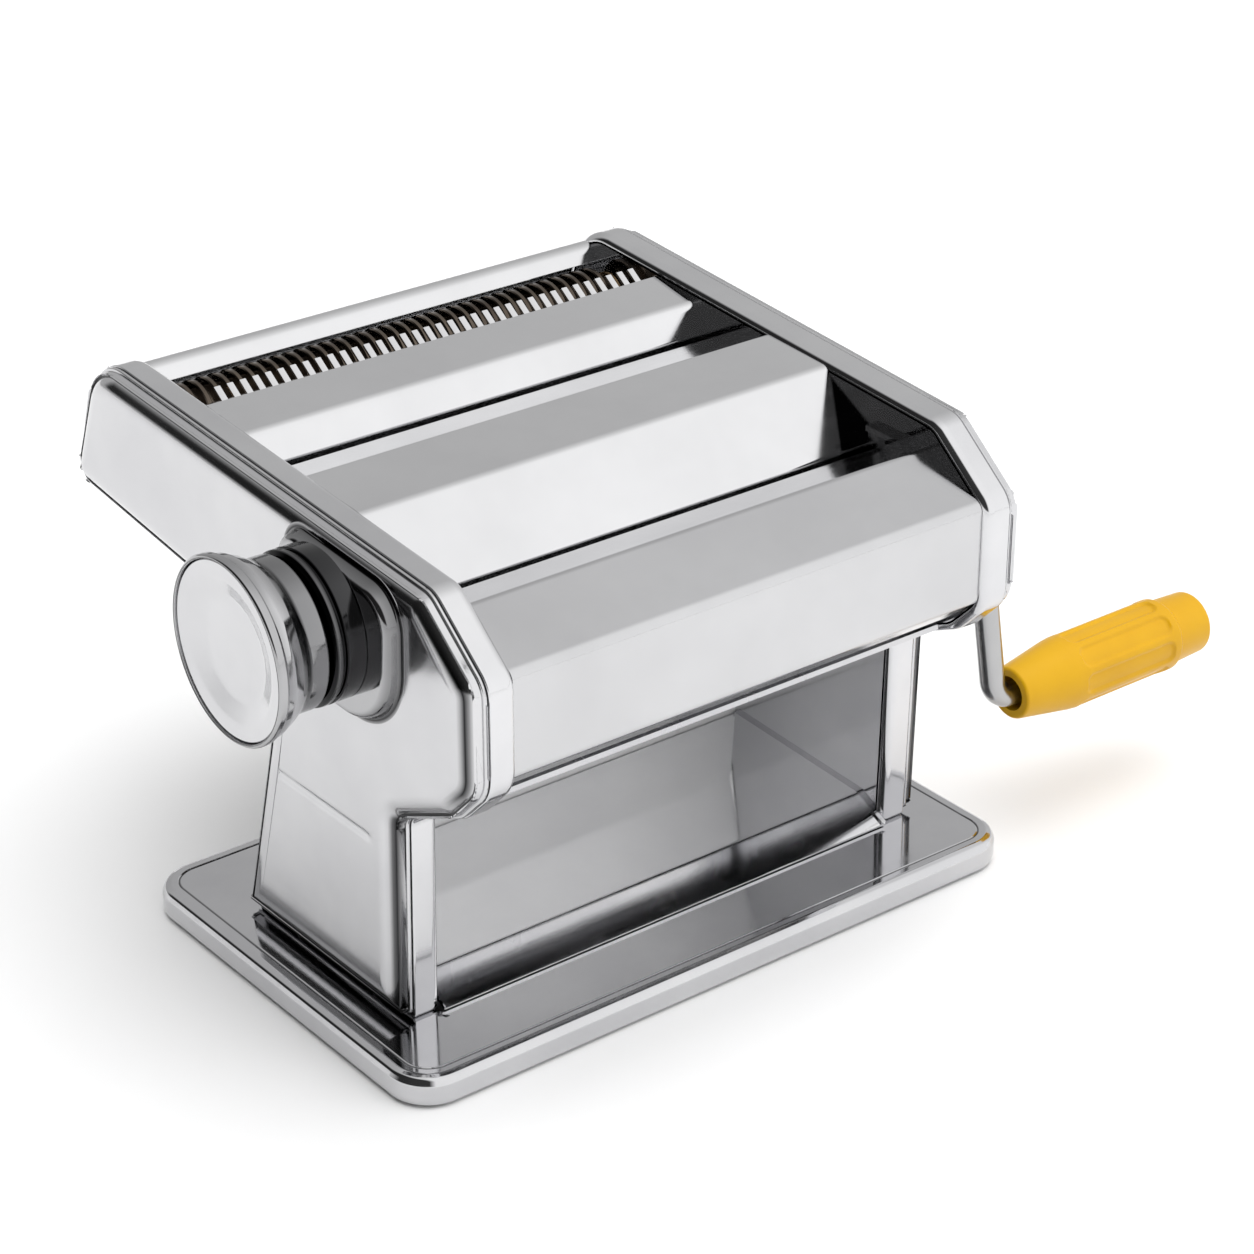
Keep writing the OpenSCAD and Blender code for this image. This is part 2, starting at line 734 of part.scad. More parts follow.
// Bend in the X-Z plane around a centre; a little thinner, its ends run into the straight parts.
module elbow(cx, cz, a0) {
    lap = 2;
    translate([cx, drive_y, cz]) rotate([90, 0, 0]) rotate(a0 - lap)
        rotate_extrude(angle = arm_turn + 2 * lap) translate([elbow_r, 0]) circle(r = rod_r - 0.1);
}

module crank_rod() {
    color("silver") {
        rod_x(shaft_end - socket_l + 0.5, hub_x - elbow_t, drive_y, roller_z, rod_r);
        elbow(hub_x - elbow_t, roller_z - elbow_r, splay);
        translate([hub_x + elbow_t * sin(splay), drive_y, roller_z - elbow_t * cos(splay)])
            rotate([0, 180 - splay, 0]) cylinder(h = arm_h / cos(splay) - 2 * elbow_t, r = rod_r);
        elbow(foot_x + elbow_t, grip_z + elbow_r, 180 + splay);
        rod_x(foot_x + elbow_t, rod_end, drive_y, grip_z, rod_r);
    }
}

stop_l = 2;

module crank_end_stop() {
    color("silver") tube_x(rod_end - stop_l - 0.4, rod_end - 0.4, drive_y, grip_z, 6, rod_r);
}

grip_profile = [[5.2, grip_x0], [7, grip_x0], [7.8, grip_x0 + 0.8], [grip_r - 0.4, grip_x0 + 18],
    [grip_r, grip_x0 + 20.5], [grip_r, grip_x1 - 15], [grip_r - 1, grip_x1 - 12.5],
    [grip_r - 1.4, grip_x1 - 1.2], [grip_r - 2.4, grip_x1], [0, grip_x1], [0, grip_x1 - 4],
    [6.6, grip_x1 - 4], [6.6, rod_end - stop_l - 0.8], [rod_r + 0.07, rod_end - stop_l - 0.8],
    [rod_r + 0.07, grip_x0 + 7], [5.2, grip_x0 + 7]];

module crank_grip() {
    color("goldenrod") translate([0, drive_y, grip_z]) difference() {
        rotate([0, 90, 0]) rotate_extrude() polygon(grip_profile);
        for (i = [0:7]) rotate([i * 45, 0, 0])
            block(grip_x0 + 22, grip_x1 - 18, -3.4, 3.4, grip_r - 0.9, grip_r + 2);
    }
}

base_tray();
base_feet();
base_screws();
clamp_socket();
left_frame();
right_frame();
left_cover();
right_cover();
front_cover();
middle_panel();
rear_middle_panel();
rear_cover();
back_panel();
floor_chute();
tie_rods();
tie_rod_screws();
drive_bushes();
cutter_bushes();
spindle_bushes();
carriage_rails();
front_scraper();
side_guides();
top_comb();
wide_combs();
narrow_combs();
dial_ring();
socket_ferrules();
drive_roller();
drive_shaft();
drive_gear();
left_carriage();
right_carriage();
carriage_bushes();
rear_scraper();
idle_roller();
idle_shaft();
idle_gear();
adjuster_spindle();
left_cam();
right_cam();
knob_spring();
knob_shell();
knob_cap();
index_pin();
crank_rod();
crank_end_stop();
crank_grip();
wide_cutter_front();
wide_gear_front();
wide_cutter_rear();
wide_gear_rear();
narrow_cutter_front();
narrow_gear_front();
narrow_cutter_rear();
narrow_gear_rear();
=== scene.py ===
import json
import math

import bmesh
import bpy
import numpy as np
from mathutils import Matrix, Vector
from mathutils.geometry import delaunay_2d_cdt


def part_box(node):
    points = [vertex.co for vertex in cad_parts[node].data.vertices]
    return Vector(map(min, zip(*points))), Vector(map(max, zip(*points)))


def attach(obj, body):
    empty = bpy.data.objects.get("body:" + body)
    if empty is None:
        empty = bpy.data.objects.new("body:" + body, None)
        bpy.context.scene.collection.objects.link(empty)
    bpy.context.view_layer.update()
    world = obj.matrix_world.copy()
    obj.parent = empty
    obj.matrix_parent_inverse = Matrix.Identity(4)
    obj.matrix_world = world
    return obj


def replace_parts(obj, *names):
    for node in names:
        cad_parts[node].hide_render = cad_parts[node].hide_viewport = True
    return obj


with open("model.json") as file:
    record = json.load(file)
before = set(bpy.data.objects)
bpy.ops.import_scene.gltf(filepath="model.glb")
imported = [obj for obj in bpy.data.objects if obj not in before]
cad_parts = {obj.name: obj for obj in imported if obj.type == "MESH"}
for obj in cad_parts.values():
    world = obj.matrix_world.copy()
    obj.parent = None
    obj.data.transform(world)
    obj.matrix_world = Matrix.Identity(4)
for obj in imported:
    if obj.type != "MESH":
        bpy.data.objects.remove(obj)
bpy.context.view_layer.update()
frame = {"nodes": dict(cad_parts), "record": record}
mm = 0.001
print("frame loaded")


def span(node, axis):
    # lowest and highest value of a CAD node along one axis, in mm
    low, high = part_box(node)
    return low[axis] / mm, high[axis] / mm


def middle(node, axis):
    low, high = span(node, axis)
    return (low + high) / 2


wallX = span("front_cover", 0)[1]        # inner faces of the side frames
seamX = span("right_frame", 0)[1]        # outer edge of a frame's flange
faceX = span("right_cover", 0)[1]        # outer face of a side cover
baseTop = span("base_tray", 2)[1]
driveAxis = (middle("drive_roller", 1), middle("drive_roller", 2))
idleAxis = (middle("idle_roller", 1), middle("idle_roller", 2))
dialAxis = (middle("dial_ring", 1), middle("dial_ring", 2))


def makePiece(name, verts, faces, body, material, smoothAngle=32, closed=True, shade=None):
    # verts is an (n, 3) array in mm; faces is a list of index arrays, quads or triangles;
    # shade paints shade and dark reflections into grooves and other places, from 0 to 1 at each vertex
    mesh = bpy.data.meshes.new(name)
    polys = [p for block in faces for p in np.asarray(block).tolist()]
    mesh.from_pydata((np.asarray(verts) * mm).tolist(), [], polys)
    if shade is not None:
        layer = mesh.attributes.new("shade", "FLOAT", "POINT")
        layer.data.foreach_set("value", np.asarray(shade, np.float32))
    work = bmesh.new()
    work.from_mesh(mesh)
    bmesh.ops.remove_doubles(work, verts=work.verts, dist=0.002 * mm)
    bmesh.ops.dissolve_degenerate(work, edges=work.edges, dist=0.001 * mm)
    if closed:
        bmesh.ops.recalc_face_normals(work, faces=work.faces)
    work.to_mesh(mesh)
    work.free()
    mesh.polygons.foreach_set("use_smooth", np.ones(len(mesh.polygons), dtype=bool))
    mesh.set_sharp_from_angle(angle=math.radians(smoothAngle))
    # open edges stay sharp where a modifier gives the sheet its thickness
    work = bmesh.new()
    work.from_mesh(mesh)
    for edge in work.edges:
        if edge.is_boundary:
            edge.smooth = False
    work.to_mesh(mesh)
    work.free()
    piece = bpy.data.objects.new(name, mesh)
    bpy.context.collection.objects.link(piece)
    mesh.materials.append(material)
    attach(piece, body)
    return piece


def gridFaces(rows, columns, start=0, wrap=True):
    # quads between neighbouring rows of points; wrap joins the last column to the first
    r = np.arange(rows - 1)[:, None]
    c = np.arange(columns if wrap else columns - 1)[None, :]
    d = (c + 1) % columns
    quads = np.stack([r * columns + c, r * columns + d, (r + 1) * columns + d, (r + 1) * columns + c], -1)
    return quads.reshape(-1, 4) + start


def joinFaces(rows, columns):
    # quads from the last row of points back to the first
    loop = np.arange(columns)
    last = (rows - 1) * columns
    return np.stack([last + loop, last + (loop + 1) % columns, (loop + 1) % columns, loop], -1)


def circleLoop(centre, radius, count):
    angle = np.linspace(0, 2 * math.pi, count + 1)[:-1]
    return np.stack([centre[0] + radius * np.cos(angle), centre[1] + radius * np.sin(angle)], -1)


def unitRows(v):
    return v / np.linalg.norm(v, axis=-1, keepdims=True)


def insetCorners(corners, d):
    # every side of a counter-clockwise outline moves inwards by d; corner radii follow
    c = np.asarray(corners, float)
    p = c[:, :2]
    u = unitRows(p - np.roll(p, 1, 0))
    v = unitRows(np.roll(p, -1, 0) - p)
    nu = np.stack([-u[:, 1], u[:, 0]], -1)
    nv = np.stack([-v[:, 1], v[:, 0]], -1)
    bend = np.sign(u[:, 0] * v[:, 1] - u[:, 1] * v[:, 0])
    q = p + (nu + nv) * d / (1 + (nu * nv).sum(-1, keepdims=True))
    return np.column_stack([q, np.maximum(0.05, c[:, 2] - bend * d)])


def roundLoop(corners, steps=12, support=0.25, isOpen=False):
    # each corner becomes an arc of its radius, with one point on the straight side before and after it
    c = np.asarray(corners, float)
    p, r = c[:, :2], c[:, 2:3]
    before, after = np.roll(p, 1, 0), np.roll(p, -1, 0)
    if isOpen:
        before[0], after[-1] = 2 * p[0] - p[1], 2 * p[-1] - p[-2]
    u, v = unitRows(before - p), unitRows(after - p)
    half = np.arccos(np.clip((u * v).sum(-1, keepdims=True), -1, 1)) / 2
    straight = half > math.radians(89.5)
    half = np.minimum(half, math.radians(89.5))
    t = r / np.tan(half)
    bisector = np.where(straight, np.stack([-u[:, 1], u[:, 0]], -1), u + v)
    m = p + unitRows(bisector) * r / np.sin(half)
    a, b = p + u * t - m, p + v * t - m
    a0 = np.arctan2(a[:, 1], a[:, 0])
    sweep = (np.arctan2(b[:, 1], b[:, 0]) - a0 + 3 * math.pi) % (2 * math.pi) - math.pi
    k = np.linspace(0, 1, steps + 1)[None, :]
    angle = a0[:, None] + sweep[:, None] * k
    arc = m[:, None, :] + r[:, None, :] * np.stack([np.cos(angle), np.sin(angle)], -1)
    arc = np.where((straight | (r <= 0))[:, None, :], p[:, None, :], arc)
    first = (p + u * (t + support))[:, None, :]
    last = (p + v * (t + support))[:, None, :]
    if isOpen:
        first[0], last[-1] = p[0], p[-1]
    return np.concatenate([first, arc, last], 1).reshape(-1, 2)


def ribbonLoop(path, thickness, steps=14):
    # outline of a bent sheet: the path is offset half a thickness to each side, bends rounded
    c = np.asarray(path, float)
    p = c[:, :2]
    u = unitRows(np.diff(p, axis=0))
    inward = np.vstack([u[:1], u])
    outward = np.vstack([u, u[-1:]])
    nu = np.stack([-inward[:, 1], inward[:, 0]], -1)
    nv = np.stack([-outward[:, 1], outward[:, 0]], -1)
    bend = np.sign(inward[:, 0] * outward[:, 1] - inward[:, 1] * outward[:, 0])
    sides = []
    for s in (-1, 1):
        q = p + (nu + nv) * s * thickness / 2 / (1 + (nu * nv).sum(-1, keepdims=True))
        r = np.where(c[:, 2] > 0, np.maximum(0.2, c[:, 2] - bend * s * thickness / 2), 0)
        sides.append(roundLoop(np.column_stack([q, r]), steps, isOpen=True))
    return np.vstack([sides[0], sides[1][::-1]])


def insideLoops(points, loops):
    # even-odd rule: a point is inside when a ray from it crosses the loops an odd number of times
    odd = np.zeros(len(points), bool)
    for loop in loops:
        a, b = loop, np.roll(loop, -1, 0)
        y, z = points[:, None, 0], points[:, None, 1]
        crosses = (a[None, :, 1] > z) != (b[None, :, 1] > z)
        slope = np.where(a[:, 1] == b[:, 1], 1e-9, b[:, 1] - a[:, 1])
        at = a[None, :, 0] + (z - a[None, :, 1]) * (b[:, 0] - a[:, 0])[None, :] / slope[None, :]
        odd ^= (crosses & (y < at)).sum(1) % 2 == 1
    return odd


def fillLoops(loops, extra=None):
    # triangles that fill an outline with holes, using extra points inside it
    points = np.vstack(loops + ([extra] if extra is not None else []))
    edges, start = [], 0
    for loop in loops:
        i = np.arange(len(loop))
        edges += np.stack([i + start, (i + 1) % len(loop) + start], -1).tolist()
        start += len(loop)
    verts, _, tris, *_ = delaunay_2d_cdt(list(map(Vector, points.tolist())), edges, [], 0, 1e-5)
    flat = np.array([tuple(v) for v in verts])
    tris = np.array(tris)
    return flat, tris[insideLoops(flat[tris].mean(1), loops)]


def sweepOutline(corners, profile, steps=12):
    # a cross-section [inset, x] carried round an outline; returns rings stacked as (k, n, 3)
    rings = [np.insert(roundLoop(insetCorners(corners, d), steps), 0, x, axis=1) for d, x in profile]
    return np.stack(rings)


def lathe(profile, centre, segments=96):
    # profile [x, radius] turned about a line along X through centre
    p = np.asarray(profile, float)
    a = np.arange(segments) / segments * 2 * math.pi
    x = np.broadcast_to(p[:, :1], (len(p), segments))
    y = centre[0] + p[:, 1:] * np.cos(a)[None, :]
    z = centre[1] + p[:, 1:] * np.sin(a)[None, :]
    return np.stack([x, y, z], -1)


def closedLathe(name, profile, centre, body, material, segments=96, smoothAngle=32, shade=None):
    # a closed profile turned about X; where it touches the axis the ring shrinks to a point;
    # shade holds one value per profile point
    grid = lathe(profile, centre, segments)
    faces = [gridFaces(len(profile), segments), joinFaces(len(profile), segments)]
    dark = None if shade is None else np.repeat(shade, segments)
    return makePiece(name, grid.reshape(-1, 3), faces, body, material, smoothAngle, shade=dark)


def extrudeX(name, loop, x0, x1, body, material, sections=2, smoothAngle=32, shade=None):
    # an outline in Y and Z carried along X and closed at both ends; shade is (sections, points)
    xs = np.linspace(x0, x1, sections)
    rings = np.stack([np.insert(loop, 0, x, axis=1) for x in xs])
    flat, tris = fillLoops([loop])
    verts = [rings.reshape(-1, 3)]
    faces = [gridFaces(sections, len(loop))]
    for k, x in enumerate((x0, x1)):
        faces.append(tris + sections * len(loop) + k * len(flat))
        verts.append(np.insert(flat, 0, x, axis=1))
    dark = None if shade is None else np.append(shade.ravel(), np.zeros(2 * len(flat)))
    return makePiece(name, np.vstack(verts), faces, body, material, smoothAngle, shade=dark)


def addNode(tree, kind, inputs=None, **settings):
    node = tree.nodes.new(kind)
    for key, value in settings.items():
        setattr(node, key, value)
    for key, value in (inputs or {}).items():
        if isinstance(value, bpy.types.NodeSocket):
            tree.links.new(value, node.inputs[key])
        else:
            node.inputs[key].default_value = value
    return node


def startMaterial(name):
    material = bpy.data.materials.new(name)
    material.use_nodes = True
    tree = material.node_tree
    shader = tree.nodes["Principled BSDF"]
    place = addNode(tree, "ShaderNodeTexCoord").outputs["Object"]
    return material, tree, shader, place


def noise(tree, place, scale, detail=3.0, stretch=(1, 1, 1), rough=0.5):
    spot = addNode(tree, "ShaderNodeMapping", {"Vector": place, "Scale": stretch}).outputs["Vector"]
    return addNode(tree, "ShaderNodeTexNoise",
                   {"Vector": spot, "Scale": scale, "Detail": detail, "Roughness": rough}).outputs["Fac"]


def remap(tree, value, low, high, fromLow=0.3, fromHigh=0.7):
    return addNode(tree, "ShaderNodeMapRange", {"Value": value, "From Min": fromLow, "From Max": fromHigh,
                                                "To Min": low, "To Max": high}).outputs["Result"]


def blend(tree, amount, first, second):
    # a colour mix node takes its two colours at inputs 6 and 7 and gives the result at output 2
    node = addNode(tree, "ShaderNodeMix", {"Factor": amount, 6: first, 7: second}, data_type="RGBA")
    return node.outputs[2]


def bump(tree, height, strength, depth, under=None):
    # raises the surface by a height value, on top of another bump where there is one
    inputs = {"Height": height, "Strength": strength, "Distance": depth}
    if under is not None:
        inputs["Normal"] = under
    return addNode(tree, "ShaderNodeBump", inputs).outputs["Normal"]


def metal(name, look):
    # polished or brushed metal: soft waviness of the sheet, hairline scratches, hazy patches, and painted
    # shade and dark reflections wherever a piece's shade values call for them
    material, tree, shader, place = startMaterial(name)
    waves = noise(tree, place, look["waveScale"], 1.0)
    hairs = noise(tree, place, look["hairScale"], 4.0, look["hairStretch"])
    haze = noise(tree, place, look["hazeScale"], 5.0, rough=0.6)
    specks = noise(tree, place, look["speckScale"], 2.0)
    clean = blend(tree, remap(tree, haze, 0.0, 1.0), look["colour"], look["tint"])
    # painted shade: each piece's shade values blend the colour towards near black
    groove = addNode(tree, "ShaderNodeAttribute", attribute_name="shade").outputs["Fac"]
    tree.links.new(blend(tree, groove, clean, look["groove"]), shader.inputs["Base Color"])
    rough = remap(tree, haze, look["rough"][0], look["rough"][1])
    extra = remap(tree, hairs, 0.0, look["hairRough"], 0.5, 0.8)
    total = addNode(tree, "ShaderNodeMath", {0: rough, 1: extra}, operation="ADD").outputs[0]
    tree.links.new(total, shader.inputs["Roughness"])
    shader.inputs["Metallic"].default_value = look["metallic"]
    wavy = bump(tree, waves, look["wave"], look["waveDepth"])
    brushed = bump(tree, hairs, look["hair"], look["hairDepth"], wavy)
    speckled = bump(tree, specks, look["speck"], look["speckDepth"], brushed)
    tree.links.new(speckled, shader.inputs["Normal"])
    return material


# one near-black colour paints shade and dark reflections wherever a piece's shade values ask for it
metalLook = {
    "colour": (0.71, 0.71, 0.72, 1), "tint": (0.62, 0.62, 0.635, 1), "rough": (0.06, 0.11),
    "waveScale": 14.0, "wave": 0.10, "hairScale": 160.0, "hairStretch": (0.06, 1, 1), "hair": 0.25,
    "hairRough": 0.05, "hazeScale": 22.0, "speck": 0.05, "groove": (0.015, 0.015, 0.016, 1),
    "metallic": 1.0, "speckScale": 900.0, "waveDepth": 0.0006, "hairDepth": 0.00002, "speckDepth": 0.00001,
}

brightSteel = metal("polished steel", metalLook)
coverSteel = metal("satin cover steel", {**metalLook, "rough": (0.11, 0.17), "hairStretch": (1, 0.08, 1),
                                         "colour": (0.65, 0.65, 0.66, 1), "tint": (0.58, 0.58, 0.595, 1),
                                         "hair": 0.35, "hairRough": 0.08})
panelSteel = metal("bright panel steel", {**metalLook, "colour": (0.72, 0.72, 0.73, 1), "rough": (0.09, 0.15),
                                          "tint": (0.66, 0.66, 0.67, 1)})
# a darker copy of the panel steel for the front cover: its lower colour is painted shade on the face
frontSteel = metal("satin front steel", {**metalLook, "colour": (0.60, 0.60, 0.61, 1), "rough": (0.12, 0.18),
                                         "tint": (0.54, 0.54, 0.55, 1)})
chuteSteel = metal("mirror chute steel", {**metalLook, "colour": (0.90, 0.90, 0.905, 1), "speck": 0.01,
                                          "tint": (0.84, 0.84, 0.85, 1), "rough": (0.05, 0.09)})
satinSteel = metal("satin back steel", {**metalLook, "colour": (0.93, 0.93, 0.935, 1), "rough": (0.34, 0.4),
                                        "tint": (0.88, 0.88, 0.89, 1), "metallic": 0.1})
baseSteel = metal("mirror base steel", {**metalLook, "rough": (0.05, 0.10), "waveScale": 9.0, "speck": 0.01,
                                        "colour": (0.62, 0.62, 0.63, 1), "tint": (0.54, 0.54, 0.555, 1)})
rollerSteel = metal("ground roller steel", {**metalLook, "colour": (0.60, 0.60, 0.61, 1), "hair": 0.6,
                                            "tint": (0.50, 0.50, 0.52, 1), "rough": (0.16, 0.28),
                                            "hairStretch": (1, 0.1, 0.1), "hairRough": 0.15})
rodSteel = metal("drawn rod steel", {**metalLook, "colour": (0.46, 0.46, 0.465, 1), "hair": 0.5,
                                     "tint": (0.38, 0.38, 0.385, 1), "rough": (0.16, 0.26)})
gearSteel = metal("machined gear steel", {**metalLook, "colour": (0.34, 0.34, 0.35, 1), "speck": 0.2,
                                          "tint": (0.24, 0.24, 0.25, 1), "rough": (0.3, 0.45)})
bronze = metal("sintered bronze", {**metalLook, "colour": (0.62, 0.44, 0.25, 1), "speck": 0.3,
                                   "tint": (0.46, 0.31, 0.17, 1), "rough": (0.3, 0.45)})
# dark brown: partly the rolls' own colour, partly painted shade in the hollow behind the comb's fingers
cutterSteel = metal("cutter roll steel", {**metalLook, "colour": (0.15, 0.125, 0.10, 1), "hair": 0.5,
                                          "tint": (0.07, 0.055, 0.045, 1), "rough": (0.14, 0.26),
                                          "hazeScale": 60.0, "hairStretch": (1, 0.1, 0.1)})


def plastic(name, look):
    # moulded plastic: faint colour mottling, fine grain, soft scuffs
    material, tree, shader, place = startMaterial(name)
    mottle = noise(tree, place, look["mottleScale"], 4.0)
    grain = noise(tree, place, look["grainScale"], 3.0)
    scuff = noise(tree, place, look["scuffScale"], 5.0, look["scuffStretch"], 0.65)
    colour = blend(tree, remap(tree, mottle, 0.0, 1.0), look["colour"], look["tint"])
    tree.links.new(colour, shader.inputs["Base Color"])
    rough = remap(tree, scuff, look["rough"][0], look["rough"][1])
    tree.links.new(rough, shader.inputs["Roughness"])
    grained = bump(tree, grain, look["grain"], look["grainDepth"])
    scuffed = bump(tree, scuff, look["scuff"], look["grainDepth"], grained)
    tree.links.new(scuffed, shader.inputs["Normal"])
    shader.inputs["Specular IOR Level"].default_value = look["specular"]
    return material


plasticLook = {"scuffScale": 90.0, "scuffStretch": (0.25, 1, 1), "scuff": 0.15, "grainDepth": 0.00005,
               "specular": 0.3}

gripPlastic = plastic("mustard grip plastic", {**plasticLook, "colour": (0.64, 0.35, 0.002, 1), "grain": 0.25,
                                               "tint": (0.58, 0.305, 0.002, 1), "rough": (0.30, 0.42),
                                               "mottleScale": 45.0, "grainScale": 2200.0})
footRubber = plastic("black foot rubber", {**plasticLook, "colour": (0.02, 0.02, 0.02, 1), "grain": 0.5,
                                           "tint": (0.035, 0.034, 0.033, 1), "rough": (0.6, 0.8),
                                           "mottleScale": 120.0, "grainScale": 1500.0})
print("materials ready")


baseSize = {
    "length": span("base_tray", 0)[1] * 2, "width": -span("base_tray", 1)[0] * 2, "cornerRadius": 12.5,
    "top": baseTop, "bottom": span("base_tray", 2)[0], "sheet": 1.2, "hem": 3.9,
    "clampHole": (0.0, 54.0), "clampRadius": 5.8, "panelInset": 4.4, "panelGroove": 0.3,
}


def baseLoop(size, d):
    # rounded rectangle seen from above, moved inwards by d; returned as [x, y]
    l, w, r = size["length"] / 2, size["width"] / 2, size["cornerRadius"]
    return roundLoop(insetCorners([[l, -w, r], [l, w, r], [-l, w, r], [-l, -w, r]], d), 20)


def makeBase(size):
    top, low, t = size["top"], size["bottom"], size["sheet"]
    g, p, hem = size["panelGroove"], size["panelInset"], size["hem"]
    outside = roundLoop([[hem, low + 1.2, 0], [hem, low, 0.3], [0.5, low, 0.6], [0.0, low + 1.6, 1.2],
                         [0.0, top - 2.6, 1.6], [0.9, top - 0.7, 1.6], [2.5, top, 1.6], [p, top, 0.3],
                         [p + 0.35, top - g, 0.15], [p + 0.9, top, 0.2], [p + 3, top, 0]],
                        5, 0.05, isOpen=True)
    inside = [[p + 3, top - t], [hem, top - t], [hem, low + 1.2]]
    profile = np.vstack([outside, inside])
    rings = np.stack([np.insert(baseLoop(size, d), 2, z, axis=1) for d, z in profile])
    count = rings.shape[1]
    topRing = len(outside) - 1
    verts = [rings.reshape(-1, 3)]
    # no wall joins the outline's upper and lower halves: the filled panels above and below meet them
    keep = [gridFaces(topRing + 1, count), gridFaces(len(inside), count, (topRing + 1) * count),
            joinFaces(len(profile), count)]
    hole = circleLoop(size["clampHole"], size["clampRadius"], 48)
    start = len(verts[0])
    for height, ring in ((top, topRing), (top - t, topRing + 1)):
        flat, tris = fillLoops([rings[ring][:, :2], hole])
        verts.append(np.insert(flat, 2, height, axis=1))
        keep.append(tris + start)
        start += len(flat)
    lip = np.stack([np.insert(hole, 2, h, axis=1) for h in (top, top - t)])
    verts.append(lip.reshape(-1, 3))
    keep.append(gridFaces(2, len(hole), start))
    # painted shade: the shallow groove round the top panel is darkened to a dark line
    paintedLine = (profile[:, 1] < top - g * 0.5) & (profile[:, 1] > top - g * 1.5) & (profile[:, 0] > p - 1)
    shade = np.zeros(sum(len(v) for v in verts))
    shade[:rings.size // 3] = np.repeat(paintedLine * 0.8, count)
    piece = makePiece("base_tray_shell", np.vstack(verts), keep, "machine", baseSteel,
                      shade=shade)
    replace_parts(piece, "base_tray")


makeBase(baseSize)
print("base made")


# [y, z, corner radius] of a casing's side outline, from the leg's rear foot upwards
casingCorners = [[35.5, baseTop, 1.5], [12.5, 98, 10], [116, 110.5, 7], [100.5, 150.7, 16], [-54, 140, 9],
                 [-75.8, 122.5, 9], [-75.8, 92.5, 12], [-65, 81.5, 12], [-41, 70.5, 4],
                 [-39.5, baseTop, 1.5]]
casing = {"sheet": 1.2, "flangeRound": 2.8, "coverInset": 0.9, "footGap": 1.6, "shoulder": 6.5,
          "coverSheet": 0.7, "socketRadius": 7.05}


def makeFrame(side, name, node):
    # a plate with a turned flange round its edge, open towards the cover
    t = casing["sheet"]
    profile = roundLoop([[2.4, wallX, 0], [0, wallX, casing["flangeRound"]], [0, seamX, 0.45],
                         [t, seamX, 0.45], [t, wallX + t, 0.4], [2.6, wallX + t, 0]], 6, 0.1, isOpen=True)
    rings = sweepOutline(insetCorners(casingCorners, 0.05), profile)
    count = rings.shape[1]
    verts, faces, start = [rings.reshape(-1, 3)], [gridFaces(len(profile), count)], rings.size // 3
    for ring in (0, len(profile) - 1):
        flat, tris = fillLoops([rings[ring][:, 1:]])
        verts.append(np.insert(flat, 0, profile[ring][1], axis=1))
        faces.append(tris + start)
        start += len(flat)
    points = np.vstack(verts) * [side, 1, 1]
    # painted shade: the inside of the turned flange, in the gap beside the cover, is darkened
    shade = np.zeros(len(points))
    shade[:rings.size // 3] = np.repeat((profile[:, 0] > 0.5) & (profile[:, 1] > wallX + 3), count)
    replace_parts(makePiece(name, points, faces, "machine", brightSteel, shade=shade), node)


crease = {"z": 62.0, "front": -31.0, "rear": 15.0, "depth": 0.45, "half": 1.8,
          "frontFade": 3, "rearFade": 1.5}


def creaseDepth(y, z):
    # a rounded groove: cosine across it, fading at both ends
    across = np.clip(np.abs(z - crease["z"]) / crease["half"], 0, 1)
    frontEnd = np.clip((y - crease["front"]) / crease["frontFade"], 0, 1)
    rearEnd = np.clip((crease["rear"] - y) / crease["rearFade"], 0, 1)
    return crease["depth"] * 0.5 * (1 + np.cos(math.pi * across)) * (frontEnd * rearEnd)


